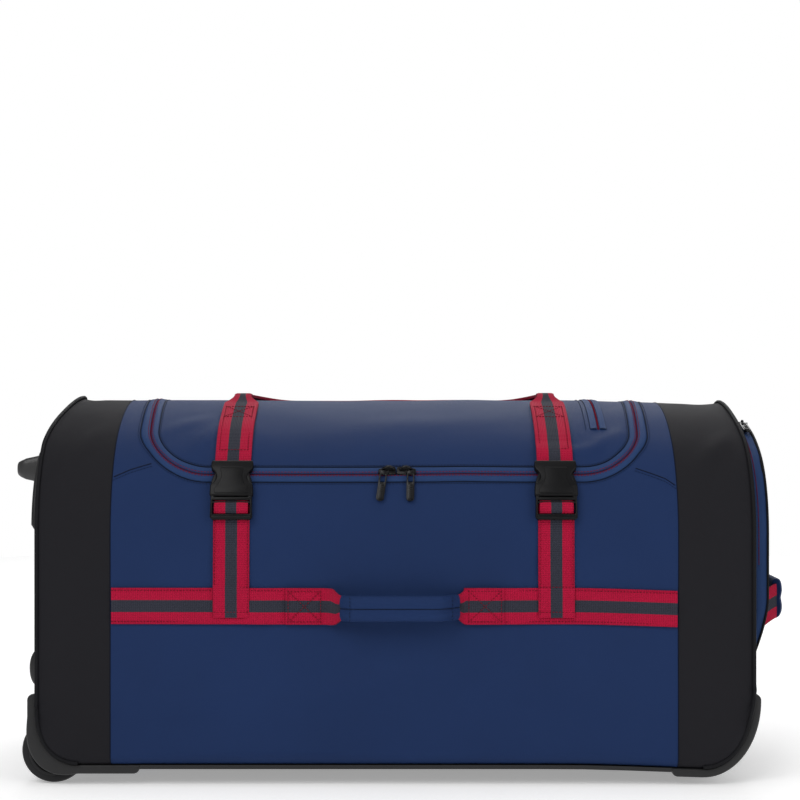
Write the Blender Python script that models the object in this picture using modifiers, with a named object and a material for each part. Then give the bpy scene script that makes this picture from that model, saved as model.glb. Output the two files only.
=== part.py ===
"""A wheeled travel bag: a hollow cloth body with moulded corners, webbing straps and two wheels.

Metres, +Z up. X runs along the bag with the wheels at the -X end, -Y is the near long side.
The origin is on the floor, on the underside of the middle skid rail.
"""

import math

import bmesh
import bpy
from mathutils import Vector

# Clearance between neighbours that touch
GAP = 0.0003

# Cloth body
HEIGHT = 0.406
DEPTH = 0.380
WHEEL_END = -0.379
POCKET_END = 0.375
SEAM_LEFT = -0.300
SEAM_RIGHT = 0.296
BODY_FLOOR = 0.0222
CREST_RADIUS = 0.260
CREST_ANGLE = math.radians(30)
BOTTOM_RADIUS = 0.012
SIDE_CLOTH = 0.0022
END_CLOTH = 0.0030
END_TUCK = 0.003
LEFT_TOE_LENGTH = 0.044
LEFT_TOE_HEIGHT = 0.050
RIGHT_TOE_LENGTH = 0.052
RIGHT_TOE_HEIGHT = 0.072
DROOP = 0.005
DROOP_LENGTH = 0.205
PIPING_RADIUS = 0.0022

# Lid and its zip
LID_LEFT = -0.272
LID_RIGHT = 0.267
LID_RUN = 0.199
LID_HINGE_RUN = 0.199
LID_CORNER = 0.065
LID_TAPER = 0.010
LID_CLOTH = 0.0028
ZIP_BAND = 0.0175
ZIP_RIDGE = 0.0010
ZIP_TAPE = 0.0020
POCKET_ZIP_X = 0.219
POCKET_ZIP_WIDTH = 0.017
POCKET_ZIP_RUN = 0.128

# Zip sliders and their pulls
LID_PULL_LEFT_X = -0.0132
LID_PULL_RIGHT_X = 0.0153
SLIDER_ABOVE = 0.0085
SLIDER_BELOW = 0.0018
SLIDER_THICK = 0.0026
SLIDER_CHEEK = 0.0012
PULL_WIDTH = 0.0082
PULL_LENGTH = 0.0315
PULL_THICK = 0.0024
PULL_HEAD_RADIUS = 0.0016
LID_PULL_LEAN = math.radians(12)
POCKET_PULL_LEAN = math.radians(2)

# Webbing
WEBBING = 0.0380
WEBBING_THICK = 0.0020
FOLDED_WEBBING = 0.0190
STRAP_LEFT_X = -0.173
STRAP_RIGHT_X = 0.168
STRAP_TOP_RUN = 0.058
FAR_STRAP_TOP_RUN = 0.140
STRAP_TAIL_Z = 0.178
HANDLE_NEAR_RUN = 0.062
HANDLE_FAR_RUN = 0.100
HANDLE_TURN = 0.055

# Side release buckles
BUCKLE_WIDTH = 0.0410
BUCKLE_THICK = 0.0095
BUCKLE_TOP_RUN = 0.1875
SOCKET_LENGTH = 0.0380
FRAME_LENGTH = 0.0235
PRONG_WIDTH = 0.0058
PRONG_REACH = 0.0230
BUCKLE_BAR = 0.0050
BUCKLE_SLOT_EDGE = 0.0035

# Webbing band round the sides, and the side handle
BAND_Z = 0.190
BAND_LEFT_END = -0.074
BAND_RIGHT_END = 0.071
SIDE_HANDLE_LEFT = -0.116
SIDE_HANDLE_RIGHT = 0.113
SIDE_HANDLE_BOW = 0.023
SIDE_HANDLE_SEWN = 0.040
SIDE_HANDLE_FOLD = 0.009
SIDE_GRIP_LEFT = -0.055
SIDE_GRIP_RIGHT = 0.063
SIDE_GRIP_HEIGHT = 0.0270
HANDLE_RISE = 1.4
GRIP_THICK = 0.0120
GRIP_SIDES = 10

# Pocket on the right end
POCKET_INSET = 0.022
POCKET_LOW_Z = 0.122
POCKET_LOW_RADIUS = 0.045
POCKET_DEPTH = 0.0180
POCKET_LOW_DEPTH = 0.0060
POCKET_TAPER = 0.040
POCKET_CLOTH = 0.0020
POCKET_BELLY = 0.003
POCKET_ZIP_BAND = 0.0070
POCKET_ZIP_THICK = 0.0012
POCKET_PULL_RUN = 0.056

# Handle on the pocket end
END_HANDLE_Z = 0.183
END_HANDLE_HALF = 0.120
END_HANDLE_SEWN = 0.035
END_HANDLE_BOW = 0.030
END_GRIP_HALF = 0.050
END_GRIP_HEIGHT = 0.0480

# Moulded pieces on the wheel end
PLATE_INSET = 0.025
PLATE_LOW_Z = 0.143
PLATE_LOW_RADIUS = 0.015
PLATE_STEP_Z = 0.270
PLATE_THICK = 0.0052
PLATE_UPPER_THICK = 0.0090
GRAB_Z = 0.3300
GRAB_HALF = 0.085
GRAB_REACH = 0.0310
GRAB_FOOT_HEIGHT = 0.0280
GRAB_HEIGHT = 0.0200
GRAB_THICK = 0.0090
BUMPER_LOW_Z = 0.101
BUMPER_THICK = 0.0100

# Corner guards and wheels
GUARD_IN_Y = 0.120
GUARD_OUT_Y = 0.184
GUARD_THICK = 0.0100
GUARD_TOP_Z = 0.096
GUARD_REACH = 0.107
CORNER_GUARD_REACH = 0.083
WHEEL_RADIUS = 0.0345
WHEEL_X = -0.363
WHEEL_Y = 0.160
WHEEL_WIDTH = 0.024
WHEEL_CLEARANCE = 0.0035
WELL_WALL = 0.0025
TYRE_THICK = 0.0080
AXLE_RADIUS = 0.0040
AXLE_CLEARANCE = 0.0001
HUB_BOSS_RADIUS = 0.0090
HUB_RECESS = 0.0030

# Base
TRAY_THICK = 0.0043
TRAY_HALF_WIDTH = 0.185
TRAY_CLEARANCE = 0.0020
RAIL_SPACING = 0.070
RAIL_WIDTH = 0.014
RAIL_LEFT = -0.230
RAIL_RIGHT = 0.160

# Worked out from the sizes above
HALF_DEPTH = DEPTH / 2
SHOULDER_Y = CREST_RADIUS * math.sin(CREST_ANGLE)
SHOULDER_RADIUS = (HALF_DEPTH - SHOULDER_Y) / (1 - math.sin(CREST_ANGLE))
CREST_RUN = CREST_RADIUS * CREST_ANGLE
SHOULDER_RUN = SHOULDER_RADIUS * (math.pi / 2 - CREST_ANGLE)
CREST_DROP = CREST_RADIUS * (1 - math.cos(CREST_ANGLE))
UPRIGHT_Z = HEIGHT - CREST_DROP - SHOULDER_RADIUS * math.cos(CREST_ANGLE)
UPRIGHT_RUN = CREST_RUN + SHOULDER_RUN
BOTTOM_RUN = BOTTOM_RADIUS * math.pi / 2
BODY_LENGTH = POCKET_END - WHEEL_END
LID_MIDDLE = (LID_LEFT + LID_RIGHT) / 2
LID_HALF = (LID_RIGHT - LID_LEFT) / 2
SECOND_LAYER = 2 * GAP + WEBBING_THICK
WELL_BACK = WHEEL_X + WHEEL_RADIUS + WHEEL_CLEARANCE
WELL_TOP = 2 * WHEEL_RADIUS + WHEEL_CLEARANCE
WELL_IN_Y = WHEEL_Y - WHEEL_WIDTH / 2 - WHEEL_CLEARANCE
WELL_OUT_Y = WHEEL_Y + WHEEL_WIDTH / 2 + WHEEL_CLEARANCE
POCKET_BACK = POCKET_END + GAP
PLATE_BACK = WHEEL_END - GAP

# Soft forms of the cloth. Along and round are the middle of each form, as shares of the body's
# length and of the run from crest to floor, with their half reaches; depth is outwards, in metres
FORMS = (
    # along, round, reach along, reach round, depth
    (0.00, 0.72, 0.36, 0.26, 0.0035),
    (0.00, 0.05, 0.34, 0.24, -0.0012),
)

# Linear colours of the finishes
BLUE = (0.020, 0.037, 0.100)
BLACK = (0.020, 0.019, 0.024)
RED = (0.340, 0.011, 0.045)
MAROON = (0.120, 0.010, 0.022)
MOULDED = (0.026, 0.026, 0.028)
TYRE = (0.016, 0.016, 0.018)
STEEL = (0.450, 0.450, 0.460)

parts = bpy.data.collections.new("wheeled_travel_bag")
cutters = bpy.data.collections.new("cutters")


def clear_scene():
    for old in list(bpy.data.objects):
        bpy.data.objects.remove(old, do_unlink=True)
    bpy.context.scene.collection.children.link(parts)
    bpy.context.scene.collection.children.link(cutters)
    cutters.hide_render = True


def finish(name, colour, roughness, metallic=0.0):
    """A material of its own for one sub-part."""
    material = bpy.data.materials.new(name)
    material.use_nodes = True
    shader = material.node_tree.nodes["Principled BSDF"]
    shader.inputs["Base Color"].default_value = (*colour, 1.0)
    shader.inputs["Roughness"].default_value = roughness
    shader.inputs["Metallic"].default_value = metallic
    material.diffuse_color = (*colour, 1.0)
    return material


def blue_cloth(name):
    return finish(name, BLUE, 0.62)


def black_cloth(name):
    return finish(name, BLACK, 0.72)


def webbing(name):
    return finish(name, RED, 0.80)


def moulded(name):
    return finish(name, MOULDED, 0.42)


def ease(share):
    share = min(max(share, 0.0), 1.0)
    return share * share * (3 - 2 * share)


def spaced(start, end, steps):
    """Equal steps from start to end, both ends included."""
    return [start + (end - start) * step / steps for step in range(steps + 1)]


# The outer face of the bag
def floor_at(x):
    """Underside of the cloth at x: it turns up to the end faces over the toes."""
    left = min(max((WHEEL_END + LEFT_TOE_LENGTH - x) / LEFT_TOE_LENGTH, 0.0), 1.0)
    right = min(max((x - POCKET_END + RIGHT_TOE_LENGTH) / RIGHT_TOE_LENGTH, 0.0), 1.0)
    rise = LEFT_TOE_HEIGHT * (1 - math.sqrt(1 - left * left))
    rise += RIGHT_TOE_HEIGHT * (1 - math.sqrt(1 - right * right))
    return BODY_FLOOR + rise


def droop_at(x):
    """The pocket end hangs a little lower than the rest."""
    return DROOP * ease(1 - (POCKET_END - x) / DROOP_LENGTH)


def side_run(x):
    return UPRIGHT_Z - floor_at(x) - BOTTOM_RADIUS


def form_at(x, run):
    """How far the cloth swells out or is pulled in at one place."""
    reach = UPRIGHT_RUN + UPRIGHT_Z - BODY_FLOOR
    depth = 0.0
    for along, round_share, half_along, half_round, height in FORMS:
        far_x = (x / BODY_LENGTH - along) / half_along
        far_run = (abs(run) / reach - round_share) / half_round
        if abs(far_x) < 1 and abs(far_run) < 1:
            swell = math.cos(far_x * math.pi / 2) * math.cos(far_run * math.pi / 2)
            depth += height * swell * swell
    tuck = max((WHEEL_END + LEFT_TOE_LENGTH - x) / LEFT_TOE_LENGTH, 0.0)
    tuck = max(tuck, (x - POCKET_END + RIGHT_TOE_LENGTH) / RIGHT_TOE_LENGTH)
    if abs(run) < UPRIGHT_RUN + side_run(x):
        depth -= END_TUCK * min(tuck, 1.0) ** 2
    return depth


def section_point(x, run):
    """(y, z, angle) on the section, for a run measured from the crest."""
    if run < CREST_RUN:
        angle = run / CREST_RADIUS
        return CREST_RADIUS * math.sin(angle), HEIGHT - CREST_RADIUS * (1 - math.cos(angle)), angle
    if run < UPRIGHT_RUN:
        angle = CREST_ANGLE + (run - CREST_RUN) / SHOULDER_RADIUS
        y = SHOULDER_Y + SHOULDER_RADIUS * (math.sin(angle) - math.sin(CREST_ANGLE))
        return y, UPRIGHT_Z + SHOULDER_RADIUS * math.cos(angle), angle
    below = run - UPRIGHT_RUN
    if below < side_run(x):
        return HALF_DEPTH, UPRIGHT_Z - below, math.pi / 2
    below -= side_run(x)
    if below < BOTTOM_RUN:
        angle = math.pi / 2 + below / BOTTOM_RADIUS
        y = HALF_DEPTH - BOTTOM_RADIUS + BOTTOM_RADIUS * math.sin(angle)
        return y, floor_at(x) + BOTTOM_RADIUS + BOTTOM_RADIUS * math.cos(angle), angle
    return HALF_DEPTH - BOTTOM_RADIUS - (below - BOTTOM_RUN), floor_at(x), math.pi


def skin(x, run, lift=0.0):
    """Point at a height above the bag's outer face; runs on the near side are negative."""
    side = -1 if run < 0 else 1
    y, z, angle = section_point(x, abs(run))
    out = Vector((0, side * math.sin(angle), math.cos(angle)))
    return Vector((x, side * y, z - droop_at(x))) + out * (lift + form_at(x, run))


def run_at_z(z):
    """Run on the upright side at a height."""
    return UPRIGHT_RUN + UPRIGHT_Z - z


def half_ring(x, start=None):
    """Runs down one side to the middle of the underside, from the crest or from start."""
    low = UPRIGHT_RUN + side_run(x)
    if start is None:
        runs = spaced(0.0, CREST_RUN, 3)[:-1] + spaced(CREST_RUN, UPRIGHT_RUN, 5)[:-1]
    else:
        runs = spaced(start, UPRIGHT_RUN, 3)[:-1]
    runs += spaced(UPRIGHT_RUN, low, 4)[:-1]
    runs += spaced(low, low + BOTTOM_RUN, 2)
    return runs + [low + BOTTOM_RUN + HALF_DEPTH - BOTTOM_RADIUS]


def ring(x, near_start=None, far_start=None):
    """Signed runs round the section: down the far side, under, and up the near side."""
    near = [-run for run in half_ring(x, near_start)]
    near.reverse()
    return half_ring(x, far_start) + near[1:]


def closed_ring(x):
    """The whole section, with the crest only once."""
    return ring(x)[:-1]


# Solids
def add_part(name, mesh, material, smooth=True):
    """Finishes a mesh built face by face and makes it a sub-part."""
    bmesh.ops.remove_doubles(mesh, verts=mesh.verts[:], dist=1e-6)
    loose = [vert for vert in mesh.verts if not vert.link_faces]
    bmesh.ops.delete(mesh, geom=loose, context="VERTS")
    bmesh.ops.recalc_face_normals(mesh, faces=mesh.faces[:])
    data = bpy.data.meshes.new(name)
    mesh.to_mesh(data)
    mesh.free()
    data.materials.append(material)
    if smooth:
        data.shade_smooth()
        data.set_sharp_from_angle(angle=math.radians(40))
    thing = bpy.data.objects.new(name, data)
    parts.objects.link(thing)
    return thing


def walled(name, outer, inner, material, around=False, keep=None):
    """Closed wall between two matching grids of points; keep(row, column) picks its cells."""
    mesh = bmesh.new()
    front = [[mesh.verts.new(point) for point in row] for row in outer]
    back = [[mesh.verts.new(point) for point in row] for row in inner]
    points = len(outer[0])
    columns = points if around else points - 1
    cells = [(i, j) for i in range(len(outer) - 1) for j in range(columns)]
    cells = [cell for cell in cells if keep is None or keep(*cell)]
    known = set(cells)
    for i, j in cells:
        k = (j + 1) % points
        corners = ((i, j), (i, k), (i + 1, k), (i + 1, j))
        mesh.faces.new([front[a][b] for a, b in corners])
        mesh.faces.new([back[a][b] for a, b in reversed(corners)])
        after = (j + 1) % columns if around else j + 1
        before = (j - 1) % columns if around else j - 1
        for side, neighbour in enumerate(((i - 1, j), (i, after), (i + 1, j), (i, before))):
            if neighbour in known:
                continue
            a, b = corners[side]
            c, d = corners[(side + 1) % 4]
            mesh.faces.new((front[a][b], back[a][b], back[c][d], front[c][d]))
    return add_part(name, mesh, material)


def laid(name, places, low, high, material, keep=None):
    """A piece that follows the bag's face: rows of (x, run), between two heights above the face.

    low and high are functions of the row and column."""
    rows = list(enumerate(places))
    top = [[skin(x, run, high(i, j)) for j, (x, run) in enumerate(row)] for i, row in rows]
    bottom = [[skin(x, run, low(i, j)) for j, (x, run) in enumerate(row)] for i, row in rows]
    return walled(name, top, bottom, material, keep=keep)


def prism(name, outline, along, material):
    """An outline of points, in order, pushed along a vector."""
    mesh = bmesh.new()
    start = [mesh.verts.new(point) for point in outline]
    end = [mesh.verts.new(point + along) for point in outline]
    mesh.faces.new(start)
    mesh.faces.new(end[::-1])
    for index, vert in enumerate(start):
        after = (index + 1) % len(start)
        mesh.faces.new((vert, end[index], end[after], start[after]))
    return add_part(name, mesh, material, smooth=False)


def box(name, low, high, material):
    outline = [
        Vector((low[0], low[1], low[2])),
        Vector((high[0], low[1], low[2])),
        Vector((high[0], low[1], high[2])),
        Vector((low[0], low[1], high[2])),
    ]
    return prism(name, outline, Vector((0, high[1] - low[1], 0)), material)


def as_cutter(thing):
    """Takes a piece out of the model, to shape another one."""
    parts.objects.unlink(thing)
    cutters.objects.link(thing)
    thing.hide_render = True
    thing.display_type = "WIRE"
    return thing


def combine(thing, operation, other):
    step = thing.modifiers.new(other.name, "BOOLEAN")
    step.operation = operation
    step.object = other


def soften(thing, width, segments=1):
    step = thing.modifiers.new("edges", "BEVEL")
    step.width = width
    step.segments = segments
    step.limit_method = "ANGLE"
    step.angle_limit = math.radians(40)


def set_origin(thing, point):
    """Moves a piece's origin to its joint's axis, the piece staying where it is."""
    for vert in thing.data.vertices:
        vert.co -= point
    thing.location = point


def path_frames(stations, base, out):
    """(station, across) along a path that stands off a face.

    Stations are (distance along, lift of the middle, height, thickness)."""
    frames = []
    for index, station in enumerate(stations):
        before = stations[max(index - 1, 0)]
        after = stations[min(index + 1, len(stations) - 1)]
        run = (base(after[0], 0) + out * after[1]) - (base(before[0], 0) + out * before[1])
        direction = Vector((run.x, run.y, 0)).normalized()
        across = Vector((-direction.y, direction.x, 0))
        if across.dot(out) < 0:
            across.negate()
        frames.append((station, across))
    return frames


def bowed_strip(name, frames, base, out, material):
    """Upright strip that leaves a face and comes back to it."""
    outer = []
    inner = []
    for (distance, lift, height, thick), across in frames:
        heights = (-height / 2, 0.0, height / 2)
        middles = [base(distance, rise) + out * lift for rise in heights]
        outer.append([middle + across * thick / 2 for middle in middles])
        inner.append([middle - across * thick / 2 for middle in middles])
    return walled(name, outer, inner, material)


def rounded(half_thick, half_height, power):
    """Rounded outline as (thickness, height) pairs; a low power makes it squarer."""
    points = []
    for step in range(GRIP_SIDES):
        angle = 2 * math.pi * (step + 0.5) / GRIP_SIDES
        c = math.cos(angle)
        s = math.sin(angle)
        thick = math.copysign(abs(c) ** power, c) * half_thick
        points.append((thick, math.copysign(abs(s) ** power, s) * half_height))
    return points


def sleeve(name, frames, base, out, height, material):
    """Padded wrap of a given height round the strip in its middle."""
    _, _, strip_height, strip_thick = frames[len(frames) // 2][0]
    outside = rounded(GRIP_THICK / 2, height / 2, 0.7)
    hollow = rounded(strip_thick / 2 + 2 * GAP, strip_height / 2 + 3 * GAP, 0.05)
    up = Vector((0, 0, 1))
    outer = []
    inner = []
    for (distance, lift, _, _), across in frames:
        middle = base(distance, 0) + out * lift
        outer.append([middle + across * thick + up * height for thick, height in outside])
        inner.append([middle + across * thick + up * height for thick, height in hollow])
    return walled(name, outer, inner, material, around=True)


# Blue middle of the bag
def lean(u, run):
    """x of a lid column: the lid is shorter at its lower edge than at the crest."""
    share = min(abs(run) / LID_RUN, 1.0)
    pull = (u - LID_MIDDLE) / LID_HALF
    if abs(pull) > 1:
        seam = SEAM_LEFT if pull < 0 else SEAM_RIGHT
        edge = LID_LEFT if pull < 0 else LID_RIGHT
        pull = math.copysign(max((u - seam) / (edge - seam), 0.0), pull)
    return u - LID_TAPER * share * pull


def opening_columns(offset):
    """(u, run of the near edge) across the lid opening, moved outwards by offset."""
    corner = []
    reach = LID_CORNER + offset
    for angle in spaced(0.0, math.pi / 2, 4):
        run = LID_RUN - LID_CORNER + reach * math.sin(angle)
        corner.append((LID_CORNER - reach * math.cos(angle), run))
    columns = [(LID_LEFT + along, run) for along, run in corner]
    straight = spaced(LID_LEFT + LID_CORNER, LID_RIGHT - LID_CORNER, 5)[1:-1]
    columns += [(u, LID_RUN + offset) for u in straight]
    columns += [(LID_RIGHT - along, run) for along, run in reversed(corner)]
    return columns


def make_centre_shell():
    opening = opening_columns(ZIP_BAND / 2 + GAP)
    columns = [(SEAM_LEFT, opening[0][1])] + opening + [(SEAM_RIGHT, opening[-1][1])]
    far_edge = LID_HINGE_RUN + GAP
    outer = []
    inner = []
    for u, near_edge in columns:
        cloth = ring(lean(u, near_edge), near_edge, far_edge)
        runs = cloth + spaced(-near_edge, far_edge, 10)[1:-1]
        outer.append([skin(lean(u, run), run) for run in runs])
        inner.append([skin(lean(u, run), run, -SIDE_CLOTH) for run in runs])
    cloth_cells = len(cloth) - 1
    ends = (0, len(columns) - 2)

    def keep(i, j):
        return j < cloth_cells or i in ends

    material = blue_cloth("blue_shell_cloth")
    walled("centre_shell", outer, inner, material, around=True, keep=keep)


def make_lid():
    places = []
    for u, near_edge in opening_columns(-ZIP_BAND / 2 - GAP):
        runs = spaced(-near_edge, LID_HINGE_RUN - GAP, 13)
        places.append([(lean(u, run), run) for run in runs])
    laid("lid", places, lambda i, j: -LID_CLOTH, lambda i, j: 0.0, blue_cloth("blue_lid_cloth"))


def zip_line(offset):
    """(u, run) along the lid zip from the far left, round the near edge, to the far right."""
    columns = opening_columns(offset)
    arm = spaced(LID_HINGE_RUN, -columns[0][1], 10)[:-1]
    line = [(columns[0][0], run) for run in arm]
    line += [(u, -run) for u, run in columns]
    return line + [(columns[-1][0], run) for run in reversed(arm)]


def make_lid_zip():
    lines = [zip_line(offset) for offset in (ZIP_BAND / 2, 0.0, -ZIP_BAND / 2)]
    places = [[(lean(u, run), run) for u, run in row] for row in zip(*lines)]

    def top(i, j):
        return ZIP_RIDGE if j == 1 else 0.0

    laid("lid_zip", places, lambda i, j: -ZIP_TAPE, top, finish("lid_zip_tape", MAROON, 0.7))


def make_lid_pocket_zip():
    half = POCKET_ZIP_WIDTH / 2
    places = []
    for run in spaced(-POCKET_ZIP_RUN, POCKET_ZIP_RUN, 18):
        places.append([(POCKET_ZIP_X + across * half, run) for across in (-1, 0, 1)])

    def top(i, j):
        return GAP + ZIP_TAPE / 2 + (ZIP_RIDGE if j == 1 else 0.0)

    material = finish("pocket_zip_tape", MAROON, 0.7)
    laid("lid_pocket_zip", places, lambda i, j: GAP, top, material)


# Black ends
def make_end_cover(name, seam, end, toe_length):
    """Cup of cloth: the wall from the seam to the end, then the end face."""
    out = -1 if end < seam else 1
    toe = end - out * toe_length
    columns = [seam + out * GAP]
    columns += [toe + out * toe_length * math.sin(angle) for angle in spaced(0, math.pi / 2, 4)]
    outer = []
    inner = []
    for x in columns:
        inset = out * END_CLOTH if x == columns[-1] else 0.0
        outer.append([skin(x, run) for run in closed_ring(x)])
        inner.append([skin(x, run, -END_CLOTH) - Vector((inset, 0, 0)) for run in closed_ring(x)])
    rim_out = outer[-1]
    rim_in = inner[-1]
    middle = sum(rim_out, Vector()) / len(rim_out)
    back = middle - Vector((out * END_CLOTH, 0, 0))
    outer.append([middle] * len(rim_out))
    inner.append([back] * len(rim_in))
    return walled(name, outer, inner, black_cloth(f"{name}_cloth"), around=True)


def make_piping(name, end):
    """Round cord sewn over the edge of an end face, from corner to corner over the crest."""
    out = -1 if end < 0 else 1
    reach = (PIPING_RADIUS + GAP) / math.sqrt(2)
    curve = bpy.data.curves.new(name, "CURVE")
    curve.dimensions = "3D"
    curve.bevel_depth = PIPING_RADIUS
    curve.bevel_resolution = 1
    curve.use_fill_caps = True
    down = [run for run in half_ring(end) if run <= UPRIGHT_RUN + side_run(end)]
    runs = [-run for run in reversed(down)] + down[1:]
    line = curve.splines.new("POLY")
    line.points.add(len(runs) - 1)
    for spot, run in zip(line.points, runs):
        point = skin(end, run, reach)
        spot.co = (point.x + out * reach, point.y, point.z, 1)
    curve.materials.append(black_cloth(f"{name}_cord"))
    parts.objects.link(bpy.data.objects.new(name, curve))


# Webbing laid on the body
def laid_strap(name, middle_x, stations, sign):
    """Webbing down one side: stations are (run, height above the face)."""
    half = WEBBING / 2
    places = [[(middle_x - half, sign * run), (middle_x + half, sign * run)] for run, _ in stations]
    heights = [height for _, height in stations]

    def top(i, j):
        return heights[i] + WEBBING_THICK

    laid(name, places, lambda i, j: heights[i], top, webbing(f"{name}_webbing"))


def tail_stations():
    """The last stretch of a strap, sewn over the band."""
    band_top = run_at_z(BAND_Z + WEBBING / 2)
    above = band_top - 5 * WEBBING_THICK
    over = band_top - WEBBING_THICK
    return above, [(run, SECOND_LAYER) for run in spaced(over, run_at_z(STRAP_TAIL_Z), 2)]


def make_near_strap(side, middle_x):
    """Upper strap from the crest to the buckle, lower strap from the buckle to the band."""
    above, tail = tail_stations()
    start = STRAP_TOP_RUN
    upper = [(run, GAP) for run in spaced(start, BUCKLE_TOP_RUN - WEBBING_THICK, 12)]
    laid_strap(f"strap_{side}_upper", middle_x, upper, -1)
    start = BUCKLE_TOP_RUN + SOCKET_LENGTH + FRAME_LENGTH + 4 * GAP
    lower = [(run, GAP) for run in spaced(start, above, 4)] + tail
    laid_strap(f"strap_{side}_lower", middle_x, lower, -1)


def make_far_strap(side, middle_x):
    above, tail = tail_stations()
    stations = [(run, GAP) for run in spaced(FAR_STRAP_TOP_RUN, above, 14)] + tail
    laid_strap(f"strap_{side}_far", middle_x, stations, 1)


def make_carry_handle(name, start_run, middle_run):
    """Webbing folded in half, from one strap top to the other, lying on the lid."""
    sign = 1 if middle_run > start_run else -1
    foot = start_run + sign * 3 * GAP
    turn_run = foot + (middle_run - foot) * 0.35
    turn_from = STRAP_LEFT_X
    widths = (WEBBING, FOLDED_WEBBING, FOLDED_WEBBING, FOLDED_WEBBING)
    line = [(turn_from, run, width) for run, width in zip(spaced(foot, turn_run, 3), widths)]
    for angle in spaced(0.0, math.pi / 2, 5)[1:]:
        x = turn_from + HANDLE_TURN * (1 - math.cos(angle))
        line.append((x, turn_run + (middle_run - turn_run) * math.sin(angle), FOLDED_WEBBING))
    mirror = STRAP_LEFT_X + STRAP_RIGHT_X
    end = [(mirror - x, run, width) for x, run, width in reversed(line)]
    across = spaced(line[-1][0], end[0][0], 6)[1:-1]
    line += [(x, middle_run, FOLDED_WEBBING) for x in across] + end
    places = []
    for index, (x, run, width) in enumerate(line):
        before = line[max(index - 1, 0)]
        after = line[min(index + 1, len(line) - 1)]
        direction = Vector((after[0] - before[0], after[1] - before[1])).normalized()
        side = Vector((-direction.y, direction.x)) * width / 2
        places.append([(x + side.x * share, run + side.y * share) for share in (-1, 0, 1)])
    thick = GAP + 2 * WEBBING_THICK
    laid(name, places, lambda i, j: GAP, lambda i, j: thick, webbing(f"{name}_webbing"))


def make_band(name, start_x, end_x, sign):
    """Webbing along one side at the band's height."""
    top = run_at_z(BAND_Z + WEBBING / 2) * sign
    bottom = run_at_z(BAND_Z - WEBBING / 2) * sign
    steps = max(4, round(abs(end_x - start_x) / (1.2 * WEBBING)))
    places = [[(x, top), (x, (top + bottom) / 2), (x, bottom)] for x in spaced(start_x, end_x, steps)]
    thick = GAP + WEBBING_THICK
    laid(name, places, lambda i, j: GAP, lambda i, j: thick, webbing(f"{name}_webbing"))


# Buckles
def make_buckle(side, middle_x):
    """Side release buckle, fastened: the socket above, the plug's prongs in its side notches."""
    half = BUCKLE_WIDTH / 2
    notch = half - PRONG_WIDTH
    prong = notch + 2 * GAP
    slot = half - BUCKLE_SLOT_EDGE
    socket_end = BUCKLE_TOP_RUN + SOCKET_LENGTH
    notch_top = socket_end - PRONG_REACH
    low = GAP + ZIP_RIDGE

    def crowned(rows):
        def height(i, j):
            edge = i in (0, rows - 1) or j in (0, 5)
            return low + BUCKLE_THICK * (0.7 if edge else 1.0)

        return height

    columns = (-half, -notch, -notch / 2, notch / 2, notch, half)
    runs = [BUCKLE_TOP_RUN, BUCKLE_TOP_RUN + BUCKLE_BAR] + spaced(notch_top, socket_end, 3)
    places = [[(middle_x + x, -run) for x in columns] for run in runs]

    def socket_cells(i, j):
        return i < 2 or 0 < j < 4

    name = f"buckle_{side}_socket"
    laid(name, places, lambda i, j: low, crowned(len(runs)), moulded(name), keep=socket_cells)
    columns = (-half, -slot, -prong, prong, slot, half)
    frame_top = socket_end + 2 * GAP
    frame_end = frame_top + FRAME_LENGTH
    runs = spaced(notch_top + BUCKLE_BAR, frame_top, 2)
    runs += [frame_top + BUCKLE_BAR, frame_end - BUCKLE_BAR, frame_end]
    places = [[(middle_x + x, -run) for x in columns] for run in runs]

    def plug_cells(i, j):
        return j != 2 if i < 2 else i != 3 or j in (0, 4)

    name = f"buckle_{side}_plug"
    laid(name, places, lambda i, j: low, crowned(len(runs)), moulded(name), keep=plug_cells)


# Zip sliders and pulls
def make_slider_and_pull(prefix, pivot, down, out, lean_in):
    """Channel-shaped slider, and the pull whose round head turns between its cheeks."""
    along = Vector((1, 0, 0))
    head = PULL_HEAD_RADIUS
    inside = PULL_WIDTH / 2 + GAP
    outside = inside + SLIDER_CHEEK
    base = -head - GAP
    channel = [
        (-outside, base - SLIDER_THICK),
        (outside, base - SLIDER_THICK),
        (outside, head),
        (inside, head),
        (inside, base),
        (-inside, base),
        (-inside, head),
        (-outside, head),
    ]
    start = pivot - down * SLIDER_ABOVE
    outline = [start + along * x + out * height for x, height in channel]
    name = f"{prefix}_slider"
    prism(name, outline, down * (SLIDER_ABOVE + SLIDER_BELOW), moulded(name))
    tongue = (down - out * math.tan(lean_in)).normalized()
    face = along.cross(tongue)
    if face.dot(out) < 0:
        face.negate()
    half = PULL_THICK / 2
    meet = math.asin(half / head)
    profile = []
    for angle in spaced(meet, 2 * math.pi - meet, 8):
        profile.append((head * math.cos(angle), head * math.sin(angle)))
    profile += [(PULL_LENGTH - half, -half), (PULL_LENGTH, -half / 2)]
    profile += [(PULL_LENGTH, half / 2), (PULL_LENGTH - half, half)]
    corner = pivot - along * PULL_WIDTH / 2
    outline = [corner + tongue * far + face * height for far, height in profile]
    name = f"{prefix}_pull"
    pull = prism(name, outline, along * PULL_WIDTH, moulded(name))
    set_origin(pull, pivot)


def near_frame(place, run):
    """Down and outward directions of a near face given as a function of the run."""
    down = (place(run + 0.004) - place(run - 0.004)).normalized()
    out = Vector((0, down.z, -down.y))
    return down, out


def pivot_height():
    return GAP + SLIDER_THICK + GAP + PULL_HEAD_RADIUS


def make_lid_pulls():
    for side, x in (("left", LID_PULL_LEFT_X), ("right", LID_PULL_RIGHT_X)):
        down, out = near_frame(lambda run: skin(x, -run), LID_RUN)
        pivot = skin(x, -LID_RUN, ZIP_RIDGE + pivot_height())
        make_slider_and_pull(f"lid_zip_{side}", pivot, down, out, LID_PULL_LEAN)


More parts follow.
